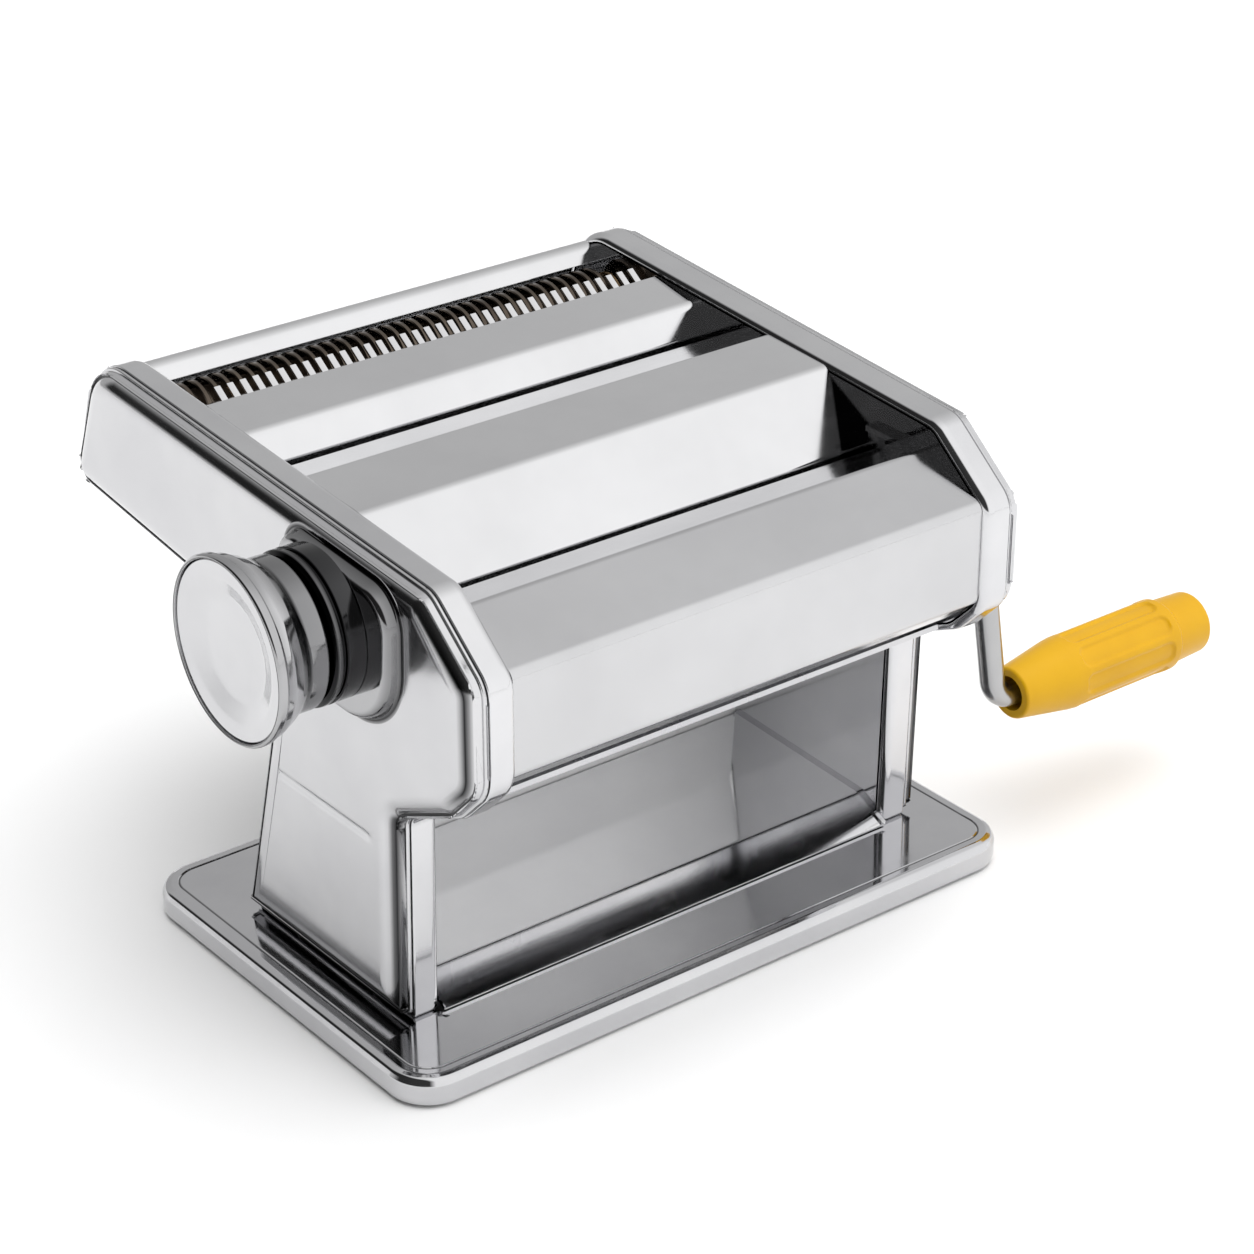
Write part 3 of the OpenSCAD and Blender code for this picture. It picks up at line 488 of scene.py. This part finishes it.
def makeCover(side, name, node, holes):
    # bead, cove and rounded shoulder carried round the outline, then a flat face with a pressed crease;
    # painted shade in the cove and beside the leg, and a painted dark reflection down the front of the
    # shoulder
    i = casing["coverInset"]
    profile = roundLoop([[i + 1.0, seamX + 0.05, 0], [i + 0.2, seamX + 0.05, 0.2],
                         [i - 0.5, seamX + 0.5, 0.35], [i - 0.5, seamX + 1.3, 0.5],
                         [i + 1.6, seamX + 1.7, 0.4], [i + 1.6, seamX + 2.5, 0.5],
                         [i + 0.5, seamX + 2.9, 0.35], [i + 0.8, faceX, casing["shoulder"]],
                         [i + 7.6, faceX, 0]], 8, 0.1, isOpen=True)
    foot = np.array(casingCorners, float)
    foot[[0, -1], 1] += casing["footGap"]
    rings = sweepOutline(foot, profile)
    count = rings.shape[1]
    ys = np.arange(crease["front"] - 1, crease["rear"], 1.0)
    zs = crease["z"] + np.linspace(-crease["half"] - 0.2, crease["half"] + 0.2, 13)
    extra = np.stack(np.meshgrid(ys, zs), -1).reshape(-1, 2)
    loops = [rings[-1][:, 1:]] + [circleLoop(hole, casing["socketRadius"], 64) for hole in holes]
    flat, tris = fillLoops(loops, extra)
    face = np.insert(flat, 0, faceX - creaseDepth(flat[:, 0], flat[:, 1]), axis=1)
    faces = [gridFaces(len(profile), count), tris + rings.size // 3]
    points = np.vstack([rings.reshape(-1, 3), face]) * [side, 1, 1]
    # painted shade: the cove between bead and shoulder is dark all round
    paintedCove = (profile[:, 0] > i + 0.75) & (profile[:, 1] < seamX + 3.0)
    # painted dark reflection: the rounded shoulder darkens most halfway round, and only down the front of the
    # casing
    turn = np.clip((profile[:, 0] - i - 0.8) / casing["shoulder"], 0, 1) * (profile[:, 1] > seamX + 3.5)
    paintedBand = np.interp(turn, [0.0, 0.12, 0.3, 0.42, 0.6, 0.72], [0.0, 0.1, 1.0, 1.0, 0.15, 0.0])[:, None]
    y, z = rings[:, :, 1], rings[:, :, 2]
    front = np.clip((-y - 46) / 10, 0, 1) * np.clip((z - 84) / 8, 0, 1)
    # painted shade: beside the leg's front edge the whole gap is dark
    gap = np.interp(turn, [0.0, 0.2, 0.4], [1.0, 0.95, 0.0])[:, None] * (profile[:, 1] > seamX + 1.4)[:, None]
    leg = np.clip((-y - 30) / 4, 0, 1) * np.clip((73 - z) / 2, 0, 1)
    shade = np.append(np.maximum(paintedCove[:, None], np.maximum(paintedBand * front, gap * leg)), np.zeros(len(face)))
    piece = makePiece(name, points, faces, "machine", coverSteel, shade=shade)
    thick = piece.modifiers.new("sheet", "SOLIDIFY")
    thick.thickness = casing["coverSheet"] * mm
    thick.offset = -1
    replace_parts(piece, node)


def socketAxes():
    # the three crank sockets on the right cover
    wide, narrow = "wide_cutter_rear", "narrow_cutter_rear"
    return [driveAxis, (middle(wide, 1), middle(wide, 2)), (middle(narrow, 1), middle(narrow, 2))]


makeFrame(-1, "left_frame_shell", "left_frame")
makeFrame(1, "right_frame_shell", "right_frame")
makeCover(-1, "left_cover_shell", "left_cover", [])
makeCover(1, "right_cover_shell", "right_cover", socketAxes())

boss = {
    "corners": [[-46, 96.2, 20], [3, 98, 20], [3, 140.2, 9], [-47.4, 136.8, 11]],
    "height": -span("left_cover", 0)[0] - faceX,
}


def makeBoss():
    # a drawn boss under the dial ring: hollow fillet at its foot, rounded shoulder, flat top
    x1 = faceX + boss["height"]
    profile = roundLoop([[-1.6, faceX - 0.2, 0], [-1.5, faceX + 0.02, 0.1], [0.2, faceX + 0.1, 0.9],
                         [1.2, x1, 2.2], [6, x1, 0]], 8, 0.1, isOpen=True)
    rings = sweepOutline(boss["corners"], profile, 20)
    flat, tris = fillLoops([rings[-1][:, 1:]])
    under, underTris = fillLoops([rings[0][:, 1:]])
    start = rings.size // 3
    faces = [gridFaces(len(profile), rings.shape[1]), tris + start, underTris + start + len(flat)]
    verts = np.vstack([rings.reshape(-1, 3), np.insert(flat, 0, x1, axis=1),
                       np.insert(under, 0, faceX - 0.2, axis=1)]) * [-1, 1, 1]
    # painted shade and dark reflection: the fillet at the foot is dark and the shoulder is greyer towards the
    # top
    paintedFilletShade = np.interp(profile[:, 0], [-1.5, -0.6, 0.6, 1.6, 3.0], [0.5, 1.0, 0.7, 0.55, 0.35])
    shade = np.append(np.repeat(paintedFilletShade, rings.shape[1]), np.full(len(flat) + len(under), 0.35))
    makePiece("dial_boss", verts, faces, "machine", brightSteel, shade=shade)


makeBoss()
print("casings made")


# [y, z, bend radius] along the middle of each sheet
panels = {
    "front_cover": [[-30.2, 117, 0], [-30.2, 123.2, 1.5], [-51.6, 131.2, 2.5], [-73.1, 122, 3],
                    [-73.1, 94.5, 3], [-68, 89.6, 0]],
    "middle_panel": [[37, 127, 0], [36.2, 135.2, 2], [14.4, 142.4, 3], [-9.8, 141, 3], [-25.4, 122.6, 2],
                     [-26, 116.8, 0]],
    "rear_middle_panel": [[64.5, 144.6, 0], [46.4, 142.4, 3], [42.3, 134.4, 2], [42, 127.5, 0]],
    "rear_cover": [[93, 141.2, 0], [98.6, 149.55, 4], [113.4, 116.5, 3], [109.6, 114.6, 0]],
}
trays = {
    "back_panel": [[26.6, baseTop + 0.7, 0], [26.2, 42, 10], [9, 94, 0]],
    "floor_chute": [[25.4, 17.6, 0], [-29.5, 15.2, 4], [-41, baseTop + 0.7, 0]],
}


sheets = {"panel": 1.0, "tray": 0.8, "bead": 2.2, "beadWidth": 1.3}
# where the painted reflection of the dark walls falls on the middle panel's steep face
wallShade = {"high": 140.6, "low": 121.5, "reach": 8.5, "rearmost": -8, "edge": 0.9, "none": -60.0}


def endShade(xs, loop, look):
    # painted reflection of the polished walls: a steep face darkens at its ends, over nothing at height high
    # and over reach at low;
    # a value well below zero keeps the rest of the sheet clean
    drop = (look["high"] - loop[:, 1]) / (look["high"] - look["low"])
    inFace = np.where((drop > -0.02) & (drop < 1.05), 0.0, look["none"])
    width = look["reach"] * np.clip(drop, 0, 1) ** 1.5
    dark = (width[None, :] - wallX + np.abs(xs)[:, None]) / look["edge"] + 0.5 + inFace[None, :]
    return np.where((loop[:, 0] < look["rearmost"])[None, :], dark, look["none"])


for node, path in panels.items():
    loop = ribbonLoop(path, sheets["panel"])
    steel = frontSteel if node == "front_cover" else panelSteel
    xs = np.array([-wallX, 0.0, wallX])
    dark = endShade(xs, loop, wallShade) if node == "middle_panel" else None
    sheet = extrudeX(node + "_sheet", loop, -wallX, wallX, "machine", steel, 3, shade=dark)
    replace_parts(sheet, node)
for node, path in trays.items():
    steel = chuteSteel if node == "floor_chute" else satinSteel
    loop = ribbonLoop(path, sheets["tray"])
    sheet = extrudeX(node + "_sheet", loop, -wallX, wallX, "machine", steel)
    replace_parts(sheet, node)
# the chute's sides are turned up by a bead along the walls
for x0, x1 in ((-wallX, -wallX + sheets["beadWidth"]), (wallX - sheets["beadWidth"], wallX)):
    bead = ribbonLoop(trays["floor_chute"], sheets["bead"])
    extrudeX("floor_chute_bead", bead[bead[:, 1] > baseTop], x0, x1, "machine", brightSteel)
print("panels made")


knobX = -span("knob_shell", 0)[1]         # inner face of the knob
knobTip = -span("knob_shell", 0)[0]
ringX = [-v for v in span("dial_ring", 0)][::-1]


def turned(points, steps=6):
    # rounds the corners of a lathe profile given as [x, radius, rounding]
    return roundLoop(points, steps, 0.08, isOpen=True)


def knobSide(points):
    p = turned(points)
    return np.column_stack([-p[:, 0], p[:, 1]])


knobOutline = [[knobX, 4.0, 0], [knobX, 19.3, 0.6], [knobX + 1.0, 20.2, 0.8], [knobX + 6.4, 20.2, 2.5],
               [knobX + 9.5, 22.2, 4.0], [knobX + 13, 23.9, 3.0], [knobTip - 2.9, 24.2, 0.5],
               [knobTip - 2.3, 24.8, 0.6], [knobTip, 24.8, 0.9], [knobTip, 23.7, 0.3],
               [knobTip - 1.4, 23.6, 0.3], [knobTip - 3.0, 22.8, 0.3],
               [knobX + 12, 22.6, 0], [knobX + 8, 19, 0], [knobX + 1.6, 19, 0],
               [knobX + 1.6, 4.0, 0]]
skirt = knobSide(knobOutline)
# [distance from the knob's inner face, darkness]: painted shade black at the ring gap and painted dark
# reflection in the hollow of the neck
paintedNeckShade = np.interp(-skirt[:, 0] - knobX, [0.0, 1.0, 1.6, 4.5, 6.6, 8.6, 10.5, 12.5, 15.0],
                 [1.0, 0.95, 0.45, 0.3, 1.0, 0.95, 0.1, 0.2, 0.4])
knob = closedLathe("knob_skirt", skirt, dialAxis, "knob", brightSteel, 128, shade=paintedNeckShade)
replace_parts(knob, "knob_shell")

discOutline = [[knobTip - 3.0, 0.02, 0], [knobTip - 3.0, 13.5, 6.0], [knobTip - 0.9, 19.5, 6.0],
               [knobTip - 0.6, 23.3, 0.4], [knobTip - 1.3, 23.6, 0.3], [knobTip - 1.9, 23.4, 0.3],
               [knobTip - 2.0, 19.0, 0], [knobTip - 3.6, 13.5, 0], [knobTip - 3.6, 0.02, 0]]
disc = closedLathe("knob_disc", knobSide(discOutline), dialAxis, "knob", coverSteel, 128)
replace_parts(disc, "knob_cap")

r0, r1 = ringX
ringOutline = [[r0, 4.0, 0], [r0, 20.4, 0.3], [r0 + 5.6, 20.5, 0.4],
               [r0 + 5.9, 19.7, 0.2], [r0 + 6.5, 19.7, 0.2],
               [r0 + 6.8, 20.5, 0.4], [r1 - 0.8, 20.4, 0.6], [r1, 19.2, 0.5], [r1, 16.5, 0.2],
               [r1 - 3, 16.5, 0.1], [r1 - 3, 12.5, 0.1], [r1, 12.5, 0.2], [r1, 4.0, 0.2]]
turnedRing = knobSide(ringOutline)
# painted shade and dark reflection: black where the ring meets the boss, in its groove and at its outer
# shoulder, grey between
paintedRingShade = np.interp(-turnedRing[:, 0] - r0, [0.0, 1.0, 1.8, 4.6, 5.4, 6.9, 7.6, r1 - r0 - 1.6, r1 - r0 - 0.6],
                  [0.95, 0.9, 0.55, 0.75, 1.0, 1.0, 0.8, 0.7, 1.0])
ring = closedLathe("dial_ring_turned", turnedRing, dialAxis, "machine", brightSteel, 128,
                   shade=paintedRingShade)
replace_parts(ring, "dial_ring")
print("knob made")


def makeRoller(node, axis, body):
    # smooth roller with softly chamfered ends
    x = span(node, 0)[1]
    r = (span(node, 2)[1] - span(node, 2)[0]) / 2
    outline = turned([[-x, 5.0, 0], [-x, r - 1.0, 0.4], [-x + 1.0, r, 0.4],
                      [x - 1.0, r, 0.4], [x, r - 1.0, 0.4], [x, 5.0, 0]], 4)
    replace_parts(closedLathe(node + "_turned", outline, axis, body, rollerSteel, 128), node)


makeRoller("drive_roller", driveAxis, "drive")
makeRoller("idle_roller", idleAxis, "idle")

cutter = {"half": 72.0, "core": 7.4, "shaft": 5.5, "gap": 0.15, "chamfer": 0.3, "socketDepth": 10,
          "socketPlay": 0.08}


def makeCutter(node, cut, phase, body):
    # discs on a core: every second strip of width cut is a disc with small chamfers
    c, g, k = cutter["chamfer"], cutter["gap"], cutter["core"]
    low, high = span(node, 0)
    r = (span(node, 2)[1] - span(node, 2)[0]) / 2
    count = int(cutter["half"] / cut / 2) * 2
    start = (2 * np.arange(-count // 2, count // 2) + phase) * cut
    step = np.array([[g, k], [g, r - c], [g + c, r], [cut - g - c, r], [cut - g, r - c], [cut - g, k]])
    discs = (step[None] + np.stack([start, 0 * start], -1)[:, None, :]).reshape(-1, 2)
    end = cutter["half"] + 2
    head = [[low, 0.02], [low, cutter["shaft"]], [-end, cutter["shaft"]], [-end, k]]
    tail = [[end, k], [end, cutter["shaft"]], [high, cutter["shaft"]]]
    if high > faceX - 2:
        # the crank's rod plugs into this end
        rodLow, rodHigh = span("crank_rod", 1)
        bore = (rodHigh - rodLow) / 2 + cutter["socketPlay"]
        end = high - cutter["socketDepth"]
        tail += [[high, bore], [end, bore], [end, 0.02]]
    else:
        tail += [[high, 0.02]]
    outline = np.vstack([head, discs, tail])
    axis = (middle(node, 1), middle(node, 2))
    roll = closedLathe(node + "_turned", outline, axis, body, cutterSteel, 56, 20)
    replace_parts(roll, node)


makeCutter("wide_cutter_front", 6.5, 0, "wide_front")
makeCutter("wide_cutter_rear", 6.5, 1, "wide_rear")
makeCutter("narrow_cutter_front", 2.0, 0, "narrow_front")
makeCutter("narrow_cutter_rear", 2.0, 1, "narrow_rear")

tines = {"path": [[57, 142.7, 0], [64.8, 143.6, 1.5], [69.6, 146.9, 0]], "thickness": 0.8, "pitch": 4.0,
         "width": 1.9, "bevel": 0.12, "root": 65.3, "length": 10}


def makeTines(look):
    # a strip behind the panel's edge, and one bent finger for every second narrow strip
    loop = ribbonLoop(look["path"], look["thickness"], 6)
    count = int(cutter["half"] / look["pitch"]) * 2
    starts = (np.arange(count) - count / 2) * look["pitch"] + look["pitch"] / 2
    b, w = look["bevel"], look["width"]
    centre = loop.mean(0)
    shrink = 1 - 2 * b / look["length"]
    ends = [centre + (loop - centre) * shrink, loop, loop, centre + (loop - centre) * shrink]
    xs = [0, b, w - b, w]
    one = np.stack([np.insert(l, 0, x, axis=1) for l, x in zip(ends, xs)])
    n = loop.shape[0]
    flat, tris = fillLoops([ends[0]])
    block = np.vstack([one.reshape(-1, 3), np.insert(flat, 0, 0, axis=1), np.insert(flat, 0, w, axis=1)])
    quads = gridFaces(4, n)
    verts = (block[None] + np.stack([starts, 0 * starts, 0 * starts], -1)[:, None, :]).reshape(-1, 3)
    shift = (np.arange(count) * len(block))[:, None, None]
    faces = [(quads[None] + shift).reshape(-1, 4), (tris[None] + 4 * n + shift).reshape(-1, 3),
             (tris[None] + 4 * n + len(flat) + shift).reshape(-1, 3)]
    fingers = makePiece("top_comb_fingers", verts, faces, "machine", panelSteel)
    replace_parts(fingers, "top_comb")
    strip = ribbonLoop([[57, 142.65, 0], [look["root"], 143.55, 0]], look["thickness"] - 0.1, 2)
    extrudeX("top_comb_strip", strip, -wallX, wallX, "machine", panelSteel)


makeTines(tines)
print("rolls made")


crank = {"rod": (span("crank_rod", 1)[1] - span("crank_rod", 1)[0]) / 2, "splay": 9.2, "hub": 101.0,
         "bend": 8.0, "axisZ": driveAxis[1], "gripZ": middle("crank_grip", 2), "segments": 48}


def makeRod(look):
    # a circle carried along a path in X and Z whose corners are rounded
    low, high = span("crank_rod", 0)
    footX = look["hub"] + (look["axisZ"] - look["gripZ"]) * math.tan(math.radians(look["splay"]))
    path = roundLoop([[low, look["axisZ"], 0], [look["hub"], look["axisZ"], look["bend"]],
                      [footX, look["gripZ"], look["bend"]], [high, look["gripZ"], 0]], 24, 0.3, isOpen=True)
    keep = np.append(True, np.linalg.norm(np.diff(path, axis=0), axis=1) > 1e-4)
    path = path[keep]
    tangent = unitRows(np.gradient(path, axis=0))
    side = np.stack([-tangent[:, 1], tangent[:, 0]], -1)
    radius = np.full(len(path), look["rod"])
    path = np.vstack([path[:1], path[:1], path[:1] + tangent[:1] * 0.5, path[1:-1],
                      path[-1:] - tangent[-1:] * 0.5, path[-1:], path[-1:]])
    side = np.vstack([side[:1], side[:1], side[:1], side[1:-1], side[-1:], side[-1:], side[-1:]])
    radius = np.concatenate([[0.02, look["rod"] - 0.5, look["rod"]], radius[1:-1],
                             [look["rod"], look["rod"] - 0.5, 0.02]])
    n = look["segments"]
    a = np.arange(n) / n * 2 * math.pi
    x = path[:, None, 0] + radius[:, None] * side[:, None, 0] * np.cos(a)[None]
    y = driveAxis[0] + radius[:, None] * np.sin(a)[None]
    z = path[:, None, 1] + radius[:, None] * side[:, None, 1] * np.cos(a)[None]
    grid = np.stack([x, y, z], -1)
    faces = [gridFaces(len(path), n)]
    rod = makePiece("crank_rod_bent", grid.reshape(-1, 3), faces, "crank", rodSteel)
    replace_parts(rod, "crank_rod")


makeRod(crank)

grip = {"flats": 8, "flatDepth": 0.75, "flatHalf": 0.80, "flatStart": 21.0, "flatEnd": 17.0, "segments": 192,
        "flatCorner": 2.6, "flatEase": 0.8}


def makeGrip(look):
    # a turned handle whose outside is pressed in by evenly spaced flats with rounded ends
    x0, x1 = span("crank_grip", 0)
    r = (span("crank_grip", 2)[1] - span("crank_grip", 2)[0]) / 2
    outside = turned([[x0, 5.2, 0], [x0, 7.7, 1.0], [x0 + 18.5, r - 0.35, 6.0], [x0 + 22, r, 3.0],
                      [x1 - 14.6, r, 0.8], [x1 - 13.2, r - 1.1, 0.5], [x1, r - 1.7, 1.6], [x1, 0.02, 0]], 10)
    xs = np.arange(x0 + 19, x1 - 15, 0.5)
    fine = np.interp(xs, outside[:, 0], outside[:, 1])
    body = (outside[:, 0] > xs[0] - 0.2) & (outside[:, 0] < xs[-1] + 0.2)
    outside = np.vstack([outside[~body & (outside[:, 0] < xs[0])], np.stack([xs, fine], -1),
                         outside[~body & (outside[:, 0] > xs[-1])]])
    inside = np.array([[x1 - 4, 0.02], [x1 - 4, 6.6], [x1 - 10.8, 6.6], [x1 - 10.8, crank["rod"] + 0.07],
                       [x0 + 7, crank["rod"] + 0.07], [x0 + 7, 5.2]])
    profile = np.vstack([outside, inside])
    a = np.arange(look["segments"]) / look["segments"] * 2 * math.pi
    # distance along X from the ends of the flats, and angle from the middle of the nearest flat
    pitch = 2 * math.pi / look["flats"]
    away = np.abs((a + pitch / 2) % pitch - pitch / 2) / (pitch / 2)
    x = profile[:, :1]
    start, end = x0 + look["flatStart"], x1 - look["flatEnd"]
    along = np.minimum(x - start, end - x)
    across = (look["flatHalf"] - away[None, :]) * r * pitch / 2
    corner = look["flatCorner"]
    dx, dy = np.maximum(corner - along, 0), np.maximum(corner - across, 0)
    depth = corner - np.hypot(dx, dy)
    press = look["flatDepth"] * np.clip(depth / look["flatEase"], 0, 1)
    press = press * (np.arange(len(profile)) < len(outside))[:, None]
    radius = profile[:, 1:] - press
    y = driveAxis[0] + radius * np.cos(a)[None]
    z = crank["gripZ"] + radius * np.sin(a)[None]
    grid = np.stack([x + 0 * radius, y, z], -1)
    faces = [gridFaces(len(profile), look["segments"]), joinFaces(len(profile), look["segments"])]
    verts = grid.reshape(-1, 3)
    piece = makePiece("crank_grip_moulded", verts, faces, "grip", gripPlastic, 40)
    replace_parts(piece, "crank_grip")


makeGrip(grip)
print("crank made")


finishes = {
    "bright_steel": brightSteel, "panel_steel": panelSteel, "roller_steel": rollerSteel,
    "rod_steel": rodSteel, "gear_steel": gearSteel, "bearing_bronze": bronze,
    "cutter_steel": cutterSteel, "foot_rubber": footRubber, "grip_plastic": gripPlastic,
}
for part in frame["record"]["subparts"]:
    for holder in frame["nodes"][part["node"]].material_slots:
        holder.material = finishes[part["material_slot"]]
print("finishes given")


def makeFloor():
    mesh = bpy.data.meshes.new("floor")
    half = 6.0
    corners = [(-half, -half, 0), (half, -half, 0), (half, half, 0), (-half, half, 0)]
    mesh.from_pydata(corners, [], [(0, 1, 2, 3)])
    floor = bpy.data.objects.new("floor", mesh)
    bpy.context.collection.objects.link(floor)
    material, tree, shader, place = startMaterial("pale floor")
    tone = noise(tree, place, 3.0)
    colour = blend(tree, remap(tree, tone, 0.0, 1.0), (0.93, 0.93, 0.93, 1), (0.915, 0.915, 0.915, 1))
    tree.links.new(colour, shader.inputs["Base Color"])
    shader.inputs["Roughness"].default_value = 0.6
    mesh.materials.append(material)


studio = {
    # [place along the axis, brightness], where place runs from -1 to 1
    "depth": [(-0.9, 1.25), (-0.3, 1.2), (0.15, 0.85), (0.62, 0.60), (0.95, 0.50)],
    "side": [(-0.54, 1.0), (-0.34, 0.0)],
    "window": [(0.03, 0.0), (0.12, 1.0), (0.80, 1.0), (0.93, 0.0)],
    "flag": 0.96, "strength": 1.0,
}


def levels(tree, value, stops):
    ramp = addNode(tree, "ShaderNodeValToRGB", {"Fac": remap(tree, value, 0.0, 1.0, -1.0, 1.0)})
    while len(ramp.color_ramp.elements) < len(stops):
        ramp.color_ramp.elements.new(0.5)
    for element, (place, level) in zip(ramp.color_ramp.elements, stops):
        element.position = (place + 1) / 2
        element.color = (level, level, level, 1)
    return ramp.outputs["Color"]


def combine(tree, kind, first, second):
    return addNode(tree, "ShaderNodeMath", {0: first, 1: second}, operation=kind).outputs[0]


def makeWorld(look):
    # a bright studio in front, greyer behind, and a black flag down the left side at middle heights;
    # the camera itself sees plain white
    world = bpy.data.worlds.new("studio")
    world.use_nodes = True
    bpy.context.scene.world = world
    sky = world.node_tree
    direction = addNode(sky, "ShaderNodeTexCoord").outputs["Generated"]
    along = addNode(sky, "ShaderNodeSeparateXYZ", {"Vector": direction}).outputs
    depth = levels(sky, along["Y"], look["depth"])
    side = levels(sky, along["X"], look["side"])
    window = levels(sky, along["Z"], look["window"])
    flag = combine(sky, "MULTIPLY", side, window)
    keepLight = combine(sky, "SUBTRACT", 1.0, combine(sky, "MULTIPLY", flag, look["flag"]))
    seen = addNode(sky, "ShaderNodeLightPath").outputs["Is Camera Ray"]
    level = combine(sky, "MAXIMUM", combine(sky, "MULTIPLY", depth, keepLight), seen)
    background = sky.nodes["Background"]
    sky.links.new(level, background.inputs["Color"])
    background.inputs["Strength"].default_value = look["strength"]


def placeLamp(name, kind, power):
    # every lamp is hidden from reflections
    lamp = bpy.data.lights.new(name, kind)
    lamp.energy = power
    holder = bpy.data.objects.new(name, lamp)
    bpy.context.collection.objects.link(holder)
    holder.visible_glossy = False
    return lamp, holder


softboxes = {
    "top_softbox": {"place": (0.1, -0.2, 1.5), "size": (1.3, 0.9), "power": 5},
    "right_softbox": {"place": (1.3, -1.2, 1.1), "size": (1.2, 1.0), "power": 3},
}
lampTarget = Vector((0, 0, 0.1))
sunFill = {"power": 1.3, "spread": 70}


def makeLamps():
    for name, look in softboxes.items():
        lamp, holder = placeLamp(name, "AREA", look["power"])
        lamp.shape = "RECTANGLE"
        lamp.size, lamp.size_y = look["size"]
        holder.location = look["place"]
        holder.rotation_euler = (Vector(look["place"]) - lampTarget).to_track_quat("Z", "Y").to_euler()
    sun, _ = placeLamp("overhead_fill", "SUN", sunFill["power"])
    sun.angle = math.radians(sunFill["spread"])


view = {"place": (-0.4976, -0.6542, 0.5026), "azimuth": -38.106, "elevation": 27.143, "lens": 97.39}


def makeCamera(look):
    eye = bpy.data.cameras.new("camera")
    eye.lens = look["lens"]
    eye.sensor_width = 36.0
    camera = bpy.data.objects.new("camera", eye)
    bpy.context.collection.objects.link(camera)
    camera.location = look["place"]
    a, e = math.radians(look["azimuth"]), math.radians(look["elevation"])
    back = Vector((math.sin(a) * math.cos(e), -math.cos(a) * math.cos(e), math.sin(e)))
    camera.rotation_euler = back.to_track_quat("Z", "Y").to_euler()
    bpy.context.scene.camera = camera


makeFloor()
makeWorld(studio)
makeLamps()
makeCamera(view)
bpy.context.scene.view_settings.view_transform = "Standard"
print("stage set")
